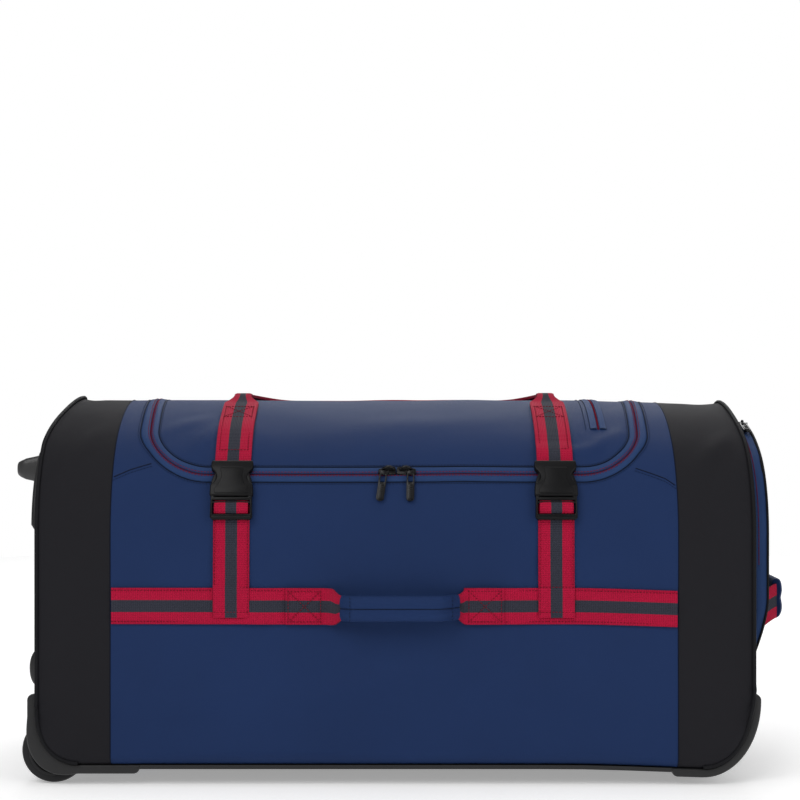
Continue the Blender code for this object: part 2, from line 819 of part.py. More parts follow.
# End panels
def inset_outline(inset, low_z, low_radius, drop=0.0):
    """(y, z) up the far half of an outline that runs inside the section."""
    half = HALF_DEPTH - inset
    points = []
    for angle in spaced(0.0, math.pi / 2, 4):
        y = half - low_radius + low_radius * math.sin(angle)
        points.append((y, low_z + low_radius * (1 - math.cos(angle))))
    points += [(half, z) for z in spaced(low_z + low_radius, UPRIGHT_Z - drop, 3)[1:]]
    shoulder = SHOULDER_RADIUS - inset
    for angle in spaced(math.pi / 2, CREST_ANGLE, 5)[1:]:
        y = half - shoulder * (1 - math.sin(angle))
        points.append((y, UPRIGHT_Z - drop + shoulder * math.cos(angle)))
    crest = CREST_RADIUS - inset
    for angle in spaced(CREST_ANGLE, 0.0, 4)[1:]:
        z = HEIGHT - drop - CREST_RADIUS + crest * math.cos(angle)
        points.append((crest * math.sin(angle), z))
    return points


def end_panel(name, outline, front, back, material):
    """Panel across the end inside an outline: front and back give x at a (y, z)."""
    outer = []
    inner = []
    for half, z in outline[:-1]:
        across = spaced(-half, half, 4)
        outer.append([Vector((front(y, z), y, z)) for y in across])
        inner.append([Vector((back(y, z), y, z)) for y in across])
    return walled(name, outer, inner, material)


def pocket_depth(z):
    """The pocket thins out towards its lower edge."""
    share = ease((z - POCKET_LOW_Z) / POCKET_TAPER)
    return POCKET_LOW_DEPTH + (POCKET_DEPTH - POCKET_LOW_DEPTH) * share


def pocket_front(y, z):
    """Back of the pocket's face, with its belly."""
    middle_z = (POCKET_LOW_Z + HEIGHT - POCKET_INSET) / 2
    across = math.cos(min(abs(y) / (HALF_DEPTH - POCKET_INSET), 1.0) * math.pi / 2)
    upright = abs(z - middle_z) / (middle_z - POCKET_LOW_Z)
    belly = POCKET_BELLY * across * math.cos(min(upright, 1.0) * math.pi / 2)
    return POCKET_BACK + pocket_depth(z) + belly + GAP


def whole_loop(half):
    """Both halves of an outline as one loop of (y, z)."""
    return half + [(-y, z) for y, z in reversed(half[:-1])]


def make_end_pocket():
    drop = DROOP
    outside = whole_loop(inset_outline(POCKET_INSET, POCKET_LOW_Z, POCKET_LOW_RADIUS, drop))
    edge = POCKET_INSET + POCKET_CLOTH
    low_z = POCKET_LOW_Z + POCKET_CLOTH
    inside = whole_loop(inset_outline(edge, low_z, POCKET_LOW_RADIUS - POCKET_CLOTH, drop))
    outer = [[Vector((POCKET_BACK, y, z)) for y, z in outside]]
    outer.append([Vector((POCKET_BACK + pocket_depth(z), y, z)) for y, z in outside])
    inner = [[Vector((POCKET_BACK, y, z)) for y, z in inside]]
    inner.append([Vector((POCKET_BACK + pocket_depth(z), y, z)) for (_, z), (y, _) in zip(outside, inside)])
    for index, (_, z) in enumerate(inside):
        inner[1][index].z = z
    walled("end_pocket_gusset", outer, inner, blue_cloth("blue_gusset_cloth"), around=True)
    end_panel(
        "end_pocket_face",
        inset_outline(POCKET_INSET, POCKET_LOW_Z, POCKET_LOW_RADIUS, drop),
        lambda y, z: pocket_front(y, z) + POCKET_CLOTH,
        pocket_front,
        black_cloth("black_pocket_cloth"),
    )
    start = POCKET_BACK + (POCKET_DEPTH - POCKET_ZIP_BAND) / 2
    inset = POCKET_INSET - GAP
    line = whole_loop(inset_outline(inset, POCKET_LOW_Z - GAP, POCKET_LOW_RADIUS + GAP, drop))
    inset -= POCKET_ZIP_THICK
    radius = POCKET_LOW_RADIUS + GAP + POCKET_ZIP_THICK
    proud = whole_loop(inset_outline(inset, POCKET_LOW_Z - GAP - POCKET_ZIP_THICK, radius, drop))
    kept = range(6, len(line) - 6)
    sides = (start, start + POCKET_ZIP_BAND)
    outer = [[Vector((x, *proud[index])) for x in sides] for index in kept]
    inner = [[Vector((x, *line[index])) for x in sides] for index in kept]
    walled("end_pocket_zip", outer, inner, finish("end_pocket_zip_tape", MAROON, 0.7))
    middle = start + POCKET_ZIP_BAND / 2
    crest = CREST_RADIUS - inset
    angle = POCKET_PULL_RUN / CREST_RADIUS
    centre_z = HEIGHT - drop - CREST_RADIUS
    out = Vector((0, -math.sin(angle), math.cos(angle)))
    down = Vector((0, -math.cos(angle), -math.sin(angle)))
    pivot = Vector((middle, 0, centre_z)) + out * (crest + pivot_height())
    make_slider_and_pull("end_pocket", pivot, down, out, POCKET_PULL_LEAN)


def handle_lift(distance, start, end, sewn, flat, bow):
    """Height of a handle's middle: flat where it is sewn, then a bow."""
    edge = min(distance - start, end - distance) - sewn
    if edge <= 0:
        return flat
    rise = min(edge / (HANDLE_RISE * bow), 1.0)
    return flat + bow * ease(rise)


def make_side_handle():
    """Webbing sewn over the ends of the band, folded inside its padded grip."""
    flat = SECOND_LAYER + WEBBING_THICK / 2
    out = Vector((0, -1, 0))

    def base(x, rise):
        return skin(x, -run_at_z(BAND_Z + rise))

    def station(x):
        folded = ease((min(x - SIDE_HANDLE_LEFT, SIDE_HANDLE_RIGHT - x) - SIDE_HANDLE_SEWN) / SIDE_HANDLE_FOLD)
        lift = handle_lift(x, SIDE_HANDLE_LEFT, SIDE_HANDLE_RIGHT, SIDE_HANDLE_SEWN, flat, SIDE_HANDLE_BOW)
        height = WEBBING + (FOLDED_WEBBING - WEBBING) * folded
        return (x, lift, height, WEBBING_THICK * (1 + folded))

    before = spaced(SIDE_HANDLE_LEFT, SIDE_GRIP_LEFT, 6)
    held = spaced(SIDE_GRIP_LEFT, SIDE_GRIP_RIGHT, 10)
    after = spaced(SIDE_GRIP_RIGHT, SIDE_HANDLE_RIGHT, 6)
    stations = [station(x) for x in before[:-1] + held + after[1:]]
    frames = path_frames(stations, base, out)
    bowed_strip("side_handle", frames, base, out, webbing("side_handle_webbing"))
    gripped = frames[len(before) - 1:len(before) - 1 + len(held)]
    material = blue_cloth("side_grip_cloth")
    sleeve("side_handle_grip", gripped, base, out, SIDE_GRIP_HEIGHT, material)


def make_end_handle():
    """Webbing over the end pocket, bowed out and wrapped in the middle."""
    out = Vector((1, 0, 0))
    flat = POCKET_CLOTH + 2 * GAP + WEBBING_THICK / 2

    def base(y, rise):
        face = pocket_front(y, END_HANDLE_Z + WEBBING / 2)
        return Vector((face, y, END_HANDLE_Z + rise))

    def station(y):
        lift = handle_lift(y, -END_HANDLE_HALF, END_HANDLE_HALF, END_HANDLE_SEWN, flat, END_HANDLE_BOW)
        return (y, lift, WEBBING, WEBBING_THICK)

    held = spaced(-END_GRIP_HALF, END_GRIP_HALF, 8)
    before = spaced(-END_HANDLE_HALF, -END_GRIP_HALF, 6)
    after = [-y for y in reversed(before)]
    stations = [station(y) for y in before[:-1] + held + after[1:]]
    frames = path_frames(stations, base, out)
    bowed_strip("end_handle", frames, base, out, webbing("end_handle_webbing"))
    gripped = frames[len(before) - 1:len(before) - 1 + len(held)]
    sleeve("end_handle_grip", gripped, base, out, END_GRIP_HEIGHT, blue_cloth("end_grip_cloth"))


# Moulded pieces on the wheel end
def make_end_plate():
    """Plate over the end face, thicker above the step."""
    outline = inset_outline(PLATE_INSET, PLATE_LOW_Z, PLATE_LOW_RADIUS)
    below = [point for point in outline if point[1] < PLATE_STEP_Z - GAP]
    above = [point for point in outline if point[1] > PLATE_STEP_Z + 3 * GAP]
    half = HALF_DEPTH - PLATE_INSET
    step = [(half, PLATE_STEP_Z), (half, PLATE_STEP_Z + 2 * GAP)]

    def front(y, z):
        thick = PLATE_THICK if z <= PLATE_STEP_Z else PLATE_UPPER_THICK
        return PLATE_BACK - thick

    rows = below + step + above
    end_panel("end_plate", rows, front, lambda y, z: PLATE_BACK, moulded("end_plate"))


def make_grab_handle():
    """Moulded handle standing off the plate."""
    out = Vector((-1, 0, 0))
    face = PLATE_BACK - PLATE_UPPER_THICK - GAP
    stations = []
    for y in spaced(-GRAB_HALF, GRAB_HALF, 12):
        share = ease((GRAB_HALF - abs(y)) / (1.3 * GRAB_REACH))
        lift = GRAB_THICK / 2 + (GRAB_REACH - GRAB_THICK) * share
        height = GRAB_FOOT_HEIGHT + (GRAB_HEIGHT - GRAB_FOOT_HEIGHT) * share
        stations.append((y, lift, height, GRAB_THICK))
    first = [(-GRAB_HALF - GRAB_THICK, stations[0][1], GRAB_FOOT_HEIGHT, GRAB_THICK)]
    last = [(GRAB_HALF + GRAB_THICK, stations[-1][1], GRAB_FOOT_HEIGHT, GRAB_THICK)]

    def base(y, rise):
        return Vector((face, y, GRAB_Z + rise))

    frames = path_frames(first + stations + last, base, out)
    bowed_strip("grab_handle", frames, base, out, moulded("grab_handle"))


def make_bumper():
    """Rounded rub strip between the plate and the wheel housings."""
    top_z = PLATE_LOW_Z - 0.0025
    middle_z = (BUMPER_LOW_Z + top_z) / 2
    half_z = (top_z - BUMPER_LOW_Z) / 2
    half_y = HALF_DEPTH - PLATE_INSET
    outer = []
    inner = []
    for angle in spaced(-math.pi / 2, math.pi / 2, 6):
        z = middle_z + half_z * math.sin(angle)
        proud = PLATE_THICK / 4 + (BUMPER_THICK - PLATE_THICK / 4) * math.cos(angle)
        across = (-half_y, -half_y + half_z, half_y - half_z, half_y)
        shares = (0.3, 1.0, 1.0, 0.3)
        outer.append([Vector((PLATE_BACK - proud * s, y, z)) for y, s in zip(across, shares)])
        inner.append([Vector((PLATE_BACK, y, z)) for y in across])
    walled("end_bumper", outer, inner, moulded("end_bumper"))


# Corners
def guard_line(end, toe_length, toe_height, reach, top_z):
    """(point, outward direction) round a lower corner of the cloth, seen from the side."""
    out = -1 if end < 0 else 1
    toe = end - out * toe_length
    tip = end - out * reach
    line = []
    for x in spaced(tip, toe, 3)[:-1]:
        line.append((Vector((x, 0, BODY_FLOOR - droop_at(x))), Vector((0, 0, -1))))
    for angle in spaced(0.0, math.pi / 2, 4):
        x = toe + out * toe_length * math.sin(angle)
        z = BODY_FLOOR + toe_height * (1 - math.cos(angle)) - droop_at(x)
        normal = Vector((out * math.sin(angle) / toe_length, 0, -math.cos(angle) / toe_height))
        line.append((Vector((x, 0, z)), normal.normalized()))
    if top_z > line[-1][0].z:
        line.append((Vector((end, 0, top_z)), Vector((out, 0, 0))))
    return line


def make_guard(name, line, side):
    """Moulded rim wrapped round a lower corner."""
    outer = []
    inner = []
    for index, (point, normal) in enumerate(line):
        thick = GUARD_THICK * (0.55 if index == 0 else 1.0)
        ys = (side * GUARD_IN_Y, side * GUARD_OUT_Y)
        outer.append([point + normal * thick + Vector((0, y, 0)) for y in ys])
        inner.append([point + normal * GAP + Vector((0, y, 0)) for y in ys])
    return walled(name, outer, inner, moulded(name))


def make_wheel_housing(side_name, side, cover):
    """Corner guard with a well for the wheel, let into the cloth of the wheel end."""
    name = f"wheel_housing_{side_name}"
    line = guard_line(WHEEL_END, LEFT_TOE_LENGTH, LEFT_TOE_HEIGHT, GUARD_REACH, GUARD_TOP_Z)
    housing = make_guard(name, line, side)
    back = WELL_BACK + WELL_WALL
    top = WELL_TOP + WELL_WALL
    inside = side * (WELL_IN_Y - WELL_WALL)
    width = Vector((0, side * (WELL_OUT_Y - WELL_IN_Y + 2 * WELL_WALL), 0))
    shift = Vector((0, inside, 0))
    rim = [point + normal * GUARD_THICK / 2 for point, normal in line]
    rim = [point for point in rim if point.x < back and point.z < top]
    outline = [Vector((back, 0, rim[0].z))] + rim
    outline += [Vector((rim[-1].x, 0, top)), Vector((back, 0, top))]
    block = prism(f"{name}_well", [point + shift for point in outline], width, moulded(f"{name}_well"))
    combine(housing, "UNION", as_cutter(block))
    ys = sorted((side * WELL_IN_Y, side * WELL_OUT_Y))
    far = WHEEL_END - 2 * WHEEL_RADIUS
    hollow = box(f"{name}_hollow", (far, ys[0], -WHEEL_RADIUS), (WELL_BACK, ys[1], WELL_TOP), moulded("well"))
    combine(housing, "DIFFERENCE", as_cutter(hollow))
    ys = sorted((inside - side * GAP, inside + width.y + side * GAP))
    low = (far, ys[0], -WHEEL_RADIUS)
    cut = box(f"{name}_cut", low, (back + GAP, ys[1], top + GAP), moulded("cut"))
    combine(cover, "DIFFERENCE", as_cutter(cut))


def turned(name, profile, centre, material):
    """Ring turned about the Y axis: the profile is a closed loop of (radius, distance along Y)."""
    mesh = bmesh.new()
    verts = [mesh.verts.new((radius, 0, along)) for radius, along in reversed(profile)]
    for index, vert in enumerate(verts):
        mesh.edges.new((vert, verts[(index + 1) % len(verts)]))
    data = bpy.data.meshes.new(name)
    mesh.to_mesh(data)
    mesh.free()
    data.materials.append(material)
    thing = bpy.data.objects.new(name, data)
    step = thing.modifiers.new("turn", "SCREW")
    step.angle = 2 * math.pi
    step.steps = 20
    step.render_steps = 20
    step.use_merge_vertices = True
    step.merge_threshold = 0.00001
    thing.rotation_euler = (math.pi / 2, 0, 0)
    thing.location = centre
    parts.objects.link(thing)
    return thing


def make_wheel(side_name, side):
    """Tyre, hub and fixed axle of one wheel."""
    centre = Vector((WHEEL_X, side * WHEEL_Y, WHEEL_RADIUS))
    half = WHEEL_WIDTH / 2
    tread = WHEEL_RADIUS
    seat = WHEEL_RADIUS - TYRE_THICK
    tyre = [(tread, half * 0.6), (tread - 0.002, half), (seat, half)]
    tyre += [(radius, -along) for radius, along in reversed(tyre)]
    turned(f"wheel_{side_name}_tyre", tyre, centre, finish(f"tyre_{side_name}", TYRE, 0.75))
    rim = seat - GAP
    bore = AXLE_RADIUS + AXLE_CLEARANCE
    hub = [(rim, half), (rim - HUB_RECESS, half - HUB_RECESS)]
    hub += [(HUB_BOSS_RADIUS, half - HUB_RECESS), (bore, half)]
    hub += [(radius, -along) for radius, along in reversed(hub)]
    turned(f"wheel_{side_name}_hub", hub, centre, moulded(f"hub_{side_name}"))
    length = WELL_OUT_Y - WELL_IN_Y - 2 * GAP
    bpy.ops.mesh.primitive_cylinder_add(vertices=16, radius=AXLE_RADIUS, depth=length)
    axle = bpy.context.object
    axle.name = f"wheel_{side_name}_axle"
    axle.rotation_euler = (math.pi / 2, 0, 0)
    axle.location = centre
    axle.data.materials.append(finish(f"axle_{side_name}", STEEL, 0.35, 1.0))
    for collection in list(axle.users_collection):
        collection.objects.unlink(axle)
    parts.objects.link(axle)


# Base
def tray_top(x):
    return BODY_FLOOR - GAP - droop_at(x)


def make_tray():
    left = WHEEL_END + GUARD_REACH + TRAY_CLEARANCE
    right = POCKET_END - CORNER_GUARD_REACH - TRAY_CLEARANCE
    outer = []
    inner = []
    for x in spaced(left, right, 12):
        ys = (-TRAY_HALF_WIDTH, TRAY_HALF_WIDTH)
        outer.append([Vector((x, y, tray_top(x))) for y in ys])
        inner.append([Vector((x, y, tray_top(x) - TRAY_THICK)) for y in ys])
    walled("base_tray", outer, inner, moulded("base_tray"))


def make_rails():
    """Three runners under the tray that stand on the floor with the wheels."""
    top = BODY_FLOOR - TRAY_THICK - 2 * GAP
    for name, middle in (("near", -RAIL_SPACING), ("middle", 0.0), ("far", RAIL_SPACING)):
        low = (RAIL_LEFT, middle - RAIL_WIDTH / 2, 0.0)
        high = (RAIL_RIGHT, middle + RAIL_WIDTH / 2, top)
        rail = box(f"skid_rail_{name}", low, high, moulded(f"skid_rail_{name}"))
        soften(rail, RAIL_WIDTH / 5)


def make_bag():
    clear_scene()
    make_centre_shell()
    make_lid()
    make_lid_zip()
    make_lid_pocket_zip()
    make_lid_pulls()
    cover = make_end_cover("wheel_end_cover", SEAM_LEFT, WHEEL_END, LEFT_TOE_LENGTH)
    make_end_cover("pocket_end_cover", SEAM_RIGHT, POCKET_END, RIGHT_TOE_LENGTH)
    make_piping("piping_wheel_end", WHEEL_END)
    make_piping("piping_pocket_end", POCKET_END)
    for side, x in (("left", STRAP_LEFT_X), ("right", STRAP_RIGHT_X)):
        make_near_strap(side, x)
        make_far_strap(side, x)
        make_buckle(side, x)
    make_carry_handle("carry_handle_near", -STRAP_TOP_RUN, HANDLE_NEAR_RUN)
    make_carry_handle("carry_handle_far", FAR_STRAP_TOP_RUN, HANDLE_FAR_RUN)
    make_band("side_band_left", SEAM_LEFT + GAP, BAND_LEFT_END, -1)
    make_band("side_band_right", BAND_RIGHT_END, SEAM_RIGHT - GAP, -1)
    make_band("side_band_far", SEAM_LEFT + GAP, SEAM_RIGHT - GAP, 1)
    make_side_handle()
    make_end_pocket()
    make_end_handle()
    make_end_plate()
    make_grab_handle()
    make_bumper()
    line = guard_line(
        POCKET_END, RIGHT_TOE_LENGTH, RIGHT_TOE_HEIGHT, CORNER_GUARD_REACH, GUARD_TOP_Z
    )
    for name, side in (("near", -1), ("far", 1)):
        make_wheel_housing(name, side, cover)
        make_guard(f"corner_guard_{name}", line, side)
        make_wheel(name, side)
    make_tray()
    make_rails()


make_bag()
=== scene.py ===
"""The look of a wheeled travel bag: cloth, webbing, buckles, moulded corners and wheels."""

import math

import bmesh
import bpy
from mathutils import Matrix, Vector, noise


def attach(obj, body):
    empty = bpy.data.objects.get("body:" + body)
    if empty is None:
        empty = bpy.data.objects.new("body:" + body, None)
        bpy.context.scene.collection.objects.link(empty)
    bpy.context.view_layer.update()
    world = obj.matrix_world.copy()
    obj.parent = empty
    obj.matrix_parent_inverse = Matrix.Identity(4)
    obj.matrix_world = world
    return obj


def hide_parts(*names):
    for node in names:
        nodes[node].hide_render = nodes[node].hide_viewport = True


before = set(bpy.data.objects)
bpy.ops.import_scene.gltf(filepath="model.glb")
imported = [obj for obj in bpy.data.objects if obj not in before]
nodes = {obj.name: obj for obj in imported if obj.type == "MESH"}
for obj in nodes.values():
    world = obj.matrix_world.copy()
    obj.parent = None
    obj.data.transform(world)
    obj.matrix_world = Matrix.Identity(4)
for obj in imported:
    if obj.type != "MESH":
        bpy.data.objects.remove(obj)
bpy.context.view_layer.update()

# Sizes of the body, in metres
GAP = 0.0003
HEIGHT = 0.406
HALF_DEPTH = 0.190
WHEEL_END = -0.379
POCKET_END = 0.375
SEAM_LEFT = -0.300
SEAM_RIGHT = 0.296
BODY_FLOOR = 0.0222
CREST_RADIUS = 0.260
CREST_ANGLE = math.radians(30)
BOTTOM_RADIUS = 0.012
END_TUCK = 0.003
LEFT_TOE = (0.044, 0.050)
RIGHT_TOE = (0.052, 0.072)
DROOP = 0.005
DROOP_LENGTH = 0.205
PIPING_RADIUS = 0.0022
LID_LEFT = -0.272
LID_RIGHT = 0.267
LID_RUN = 0.199
LID_CORNER = 0.065
LID_TAPER = 0.010
ZIP_BAND = 0.0175
WEBBING = 0.0380
WEBBING_THICK = 0.0020
FOLDED_WEBBING = 0.0190
STRAPS = (("left", -0.173), ("right", 0.168))
STRAP_TOP_RUN = 0.058
FAR_STRAP_TOP_RUN = 0.140
STRAP_TAIL_Z = 0.178
BUCKLE_TOP_RUN = 0.1875
SOCKET_LENGTH = 0.0380
FRAME_LENGTH = 0.0235
BUCKLE_HALF = 0.0222
BAND_Z = 0.190
BAND_LEFT_END = -0.074
BAND_RIGHT_END = 0.071
WHEEL_END_LEAN = 0.020
POCKET_END_LEAN = 0.007
LEAN_RUN = 0.155
LEAN_LENGTH = 0.070
END_PEAK = 0.0045
PEAK_RUN = 0.090
PEAK_LENGTH = 0.035
WELL_BACK = -0.325
WELL_TOP = 0.0725
WELL_SIDES = (0.1440, 0.1760)
LID_POCKET_X = 0.219
LID_POCKET_HALF = 0.0085
LID_POCKET_REACH = 0.128
WEBBING_GAP = 0.0004
STITCH_HALF = 0.0150
SIDE_HANDLE_ENDS = (-0.116, 0.113)
END_HANDLE_HALF = 0.120
END_HANDLE_LOW = 0.148
END_HANDLE_RISE = 0.033
POCKET_INSET = 0.022
POCKET_LOW = 0.122
PULL_LIFT = 0.0058
AXLE_X = -0.363
WHEEL_MIDDLE = 0.160
WHEEL_RADIUS = 0.0345
WHEEL_HALF = 0.012
GUARD_THICK = 0.0100
GUARD_SIDES = (0.120, 0.184)
GRAB_Z = 0.330
BUMPER_HALF = 0.166
BUMPER_LOW = 0.1010
BUMPER_TOP = 0.1405
BUMPER_REACH = 0.0112

# Worked out from the sizes above
SHOULDER_Y = CREST_RADIUS * math.sin(CREST_ANGLE)
SHOULDER_RADIUS = (HALF_DEPTH - SHOULDER_Y) / (1 - math.sin(CREST_ANGLE))
CREST_RUN = CREST_RADIUS * CREST_ANGLE
UPRIGHT_RUN = CREST_RUN + SHOULDER_RADIUS * (math.pi / 2 - CREST_ANGLE)
CREST_DROP = CREST_RADIUS * (1 - math.cos(CREST_ANGLE))
UPRIGHT_Z = HEIGHT - CREST_DROP - SHOULDER_RADIUS * math.cos(CREST_ANGLE)
BOTTOM_RUN = BOTTOM_RADIUS * math.pi / 2
BODY_LENGTH = POCKET_END - WHEEL_END
LID_MIDDLE = (LID_LEFT + LID_RIGHT) / 2
LID_HALF = (LID_RIGHT - LID_LEFT) / 2

# Swell of the cloth: middle along and round, reach along and round, depth
FORMS = (
    (0.00, 0.72, 0.36, 0.26, 0.0035),
    (0.00, 0.05, 0.34, 0.24, -0.0012),
)

# Soft folds: middle x and run, direction, half length, half width, depth
FOLDS = (
    (-0.205, -0.150, 70, 0.060, 0.010, 0.0016),
    (-0.228, -0.120, 40, 0.050, 0.012, 0.0012),
    (0.185, -0.172, 20, 0.045, 0.009, 0.0014),
    (0.215, -0.160, 55, 0.050, 0.010, 0.0016),
    (0.238, -0.150, 80, 0.050, 0.008, 0.0012),
    (0.125, -0.330, 60, 0.070, 0.014, 0.0014),
    (0.150, -0.300, 48, 0.060, 0.010, -0.0010),
    (-0.140, -0.320, 112, 0.070, 0.016, 0.0012),
    (-0.095, -0.260, 100, 0.050, 0.014, 0.0008),
    (0.060, -0.235, 90, 0.050, 0.020, 0.0009),
    (-0.030, -0.420, 10, 0.150, 0.018, 0.0013),
    (0.160, -0.430, 172, 0.110, 0.016, 0.0013),
    (-0.210, -0.440, 12, 0.080, 0.015, 0.0011),
    (0.030, -0.120, 5, 0.140, 0.022, 0.0010),
    (-0.340, -0.170, 60, 0.080, 0.014, 0.0014),
    (-0.325, -0.420, 95, 0.080, 0.014, -0.0010),
    (0.330, -0.300, 88, 0.110, 0.016, -0.0012),
    (0.340, -0.160, 55, 0.070, 0.012, 0.0014),
    (-0.100, 0.330, 70, 0.080, 0.018, 0.0014),
    (0.120, 0.360, 110, 0.080, 0.018, 0.0014),
)

# Lines for thin dark cords along the seams: painted shadow in the seam lines.
seam_shadow_lines = []
threads = {"blue": [], "red": []}


# Shape of the body
def ease(share):
    share = min(max(share, 0.0), 1.0)
    return share * share * (3 - 2 * share)


def spaced(start, end, steps):
    return [start + (end - start) * step / steps for step in range(steps + 1)]


def floor_at(x):
    left = min(max((WHEEL_END + LEFT_TOE[0] - x) / LEFT_TOE[0], 0.0), 1.0)
    right = min(max((x - POCKET_END + RIGHT_TOE[0]) / RIGHT_TOE[0], 0.0), 1.0)
    rise = LEFT_TOE[1] * (1 - math.sqrt(1 - left * left))
    return BODY_FLOOR + rise + RIGHT_TOE[1] * (1 - math.sqrt(1 - right * right))


def droop_at(x):
    return DROOP * ease(1 - (POCKET_END - x) / DROOP_LENGTH)


def side_run(x):
    return UPRIGHT_Z - floor_at(x) - BOTTOM_RADIUS


def form_at(x, run):
    reach = UPRIGHT_RUN + UPRIGHT_Z - BODY_FLOOR
    depth = 0.0
    for along, round_share, half_along, half_round, height in FORMS:
        far_x = (x / BODY_LENGTH - along) / half_along
        far_run = (abs(run) / reach - round_share) / half_round
        if abs(far_x) < 1 and abs(far_run) < 1:
            swell = math.cos(far_x * math.pi / 2) * math.cos(far_run * math.pi / 2)
            depth += height * swell * swell
    tuck = max((WHEEL_END + LEFT_TOE[0] - x) / LEFT_TOE[0], 0.0)
    tuck = max(tuck, (x - POCKET_END + RIGHT_TOE[0]) / RIGHT_TOE[0])
    if abs(run) < UPRIGHT_RUN + side_run(x):
        depth -= END_TUCK * min(tuck, 1.0) ** 2
    return depth


def section_point(x, run):
    if run < CREST_RUN:
        angle = run / CREST_RADIUS
        drop = CREST_RADIUS * (1 - math.cos(angle))
        return CREST_RADIUS * math.sin(angle), HEIGHT - drop, angle
    if run < UPRIGHT_RUN:
        angle = CREST_ANGLE + (run - CREST_RUN) / SHOULDER_RADIUS
        y = SHOULDER_Y + SHOULDER_RADIUS * (math.sin(angle) - math.sin(CREST_ANGLE))
        return y, UPRIGHT_Z + SHOULDER_RADIUS * math.cos(angle), angle
    below = run - UPRIGHT_RUN
    if below < side_run(x):
        return HALF_DEPTH, UPRIGHT_Z - below, math.pi / 2
    below -= side_run(x)
    if below < BOTTOM_RUN:
        angle = math.pi / 2 + below / BOTTOM_RADIUS
        y = HALF_DEPTH - BOTTOM_RADIUS + BOTTOM_RADIUS * math.sin(angle)
        return y, floor_at(x) + BOTTOM_RADIUS + BOTTOM_RADIUS * math.cos(angle), angle
    return HALF_DEPTH - BOTTOM_RADIUS - (below - BOTTOM_RUN), floor_at(x), math.pi


def crease_at(x, run):
    """Folds and slack of the cloth, on top of the plain shape."""
    if abs(run) > UPRIGHT_RUN + side_run(x):
        return 0.0
    slack = noise.noise(Vector((x * 7, run * 9, 3.1))) * 0.0009
    slack += noise.noise(Vector((x * 19, run * 15, 8.7))) * 0.0004
    for middle_x, middle_run, turn, length, width, depth in FOLDS:
        dx = x - middle_x
        dy = run - middle_run
        if abs(dx) > length * 1.2 or abs(dy) > length * 1.2:
            continue
        c = math.cos(math.radians(turn))
        s = math.sin(math.radians(turn))
        along = (dx * c + dy * s) / length
        across = (dy * c - dx * s) / width
        if abs(along) < 1:
            fade = math.cos(along * math.pi / 2) ** 2
            slack += depth * fade * math.exp(-across * across)
    slack *= 2.0
    for edge in (WHEEL_END, POCKET_END):
        fade = min(abs(x - edge) / 0.02, 1.0)
        slack *= fade
    return slack


def end_lean(x, run):
    """How far the top of an end leans in."""
    share = max(1 - abs(run) / LEAN_RUN, 0.0)
    around = 0.4 * ease(share) + 0.6 * share
    left = min(max(1 - (x - WHEEL_END) / LEAN_LENGTH, 0.0), 1.1)
    right = min(max(1 - (POCKET_END - x) / LEAN_LENGTH, 0.0), 1.1)
    return around * (WHEEL_END_LEAN * left ** 1.5 - POCKET_END_LEAN * right ** 1.5)


def end_peak(x, run):
    """How far the cloth stands up over the cord at the crest of an end."""
    close = max(1 - min(x - WHEEL_END, POCKET_END - x) / PEAK_LENGTH, 0.0)
    return END_PEAK * ease(1 - abs(run) / PEAK_RUN) * min(close, 1.0) ** 2


def skin(x, run, lift=0.0, folds=True):
    """Point at a height above the cloth; runs on the near side are negative."""
    side = -1 if run < 0 else 1
    y, z, angle = section_point(x, abs(run))
    out = Vector((0, side * math.sin(angle), math.cos(angle)))
    rise = lift + form_at(x, run) + end_peak(x, run)
    if folds:
        rise += crease_at(x, run)
    return Vector((x + end_lean(x, run), side * y, z - droop_at(x))) + out * rise


def out_at(x, run):
    side = -1 if run < 0 else 1
    _, _, angle = section_point(x, abs(run))
    return Vector((0, side * math.sin(angle), math.cos(angle)))


def run_at_z(z):
    return UPRIGHT_RUN + UPRIGHT_Z - z


def lean(u, run):
    share = min(abs(run) / LID_RUN, 1.0)
    pull = (u - LID_MIDDLE) / LID_HALF
    if abs(pull) > 1:
        seam = SEAM_LEFT if pull < 0 else SEAM_RIGHT
        edge = LID_LEFT if pull < 0 else LID_RIGHT
        pull = math.copysign(max((u - seam) / (edge - seam), 0.0), pull)
    return u - LID_TAPER * share * pull


# Materials
class Value:
    """A number that varies over a surface; plain arithmetic adds the nodes for it."""

    def __init__(self, paint, socket):
        self.paint = paint
        self.socket = socket

    def _join(self, operation, first, second):
        node = self.paint.tree.nodes.new("ShaderNodeMath")
        node.operation = operation
        self.paint.feed(node.inputs[0], first)
        self.paint.feed(node.inputs[1], second)
        return Value(self.paint, node.outputs[0])

    def __add__(self, other):
        return self._join("ADD", self, other)

    def __radd__(self, other):
        return self._join("ADD", other, self)

    def __sub__(self, other):
        return self._join("SUBTRACT", self, other)

    def __rsub__(self, other):
        return self._join("SUBTRACT", other, self)

    def __mul__(self, other):
        return self._join("MULTIPLY", self, other)

    def __rmul__(self, other):
        return self._join("MULTIPLY", other, self)

    def __gt__(self, other):
        return self._join("GREATER_THAN", self, other)

    def sine(self):
        return self._join("SINE", self, 0.0)

    def size(self):
        return self._join("ABSOLUTE", self, 0.0)


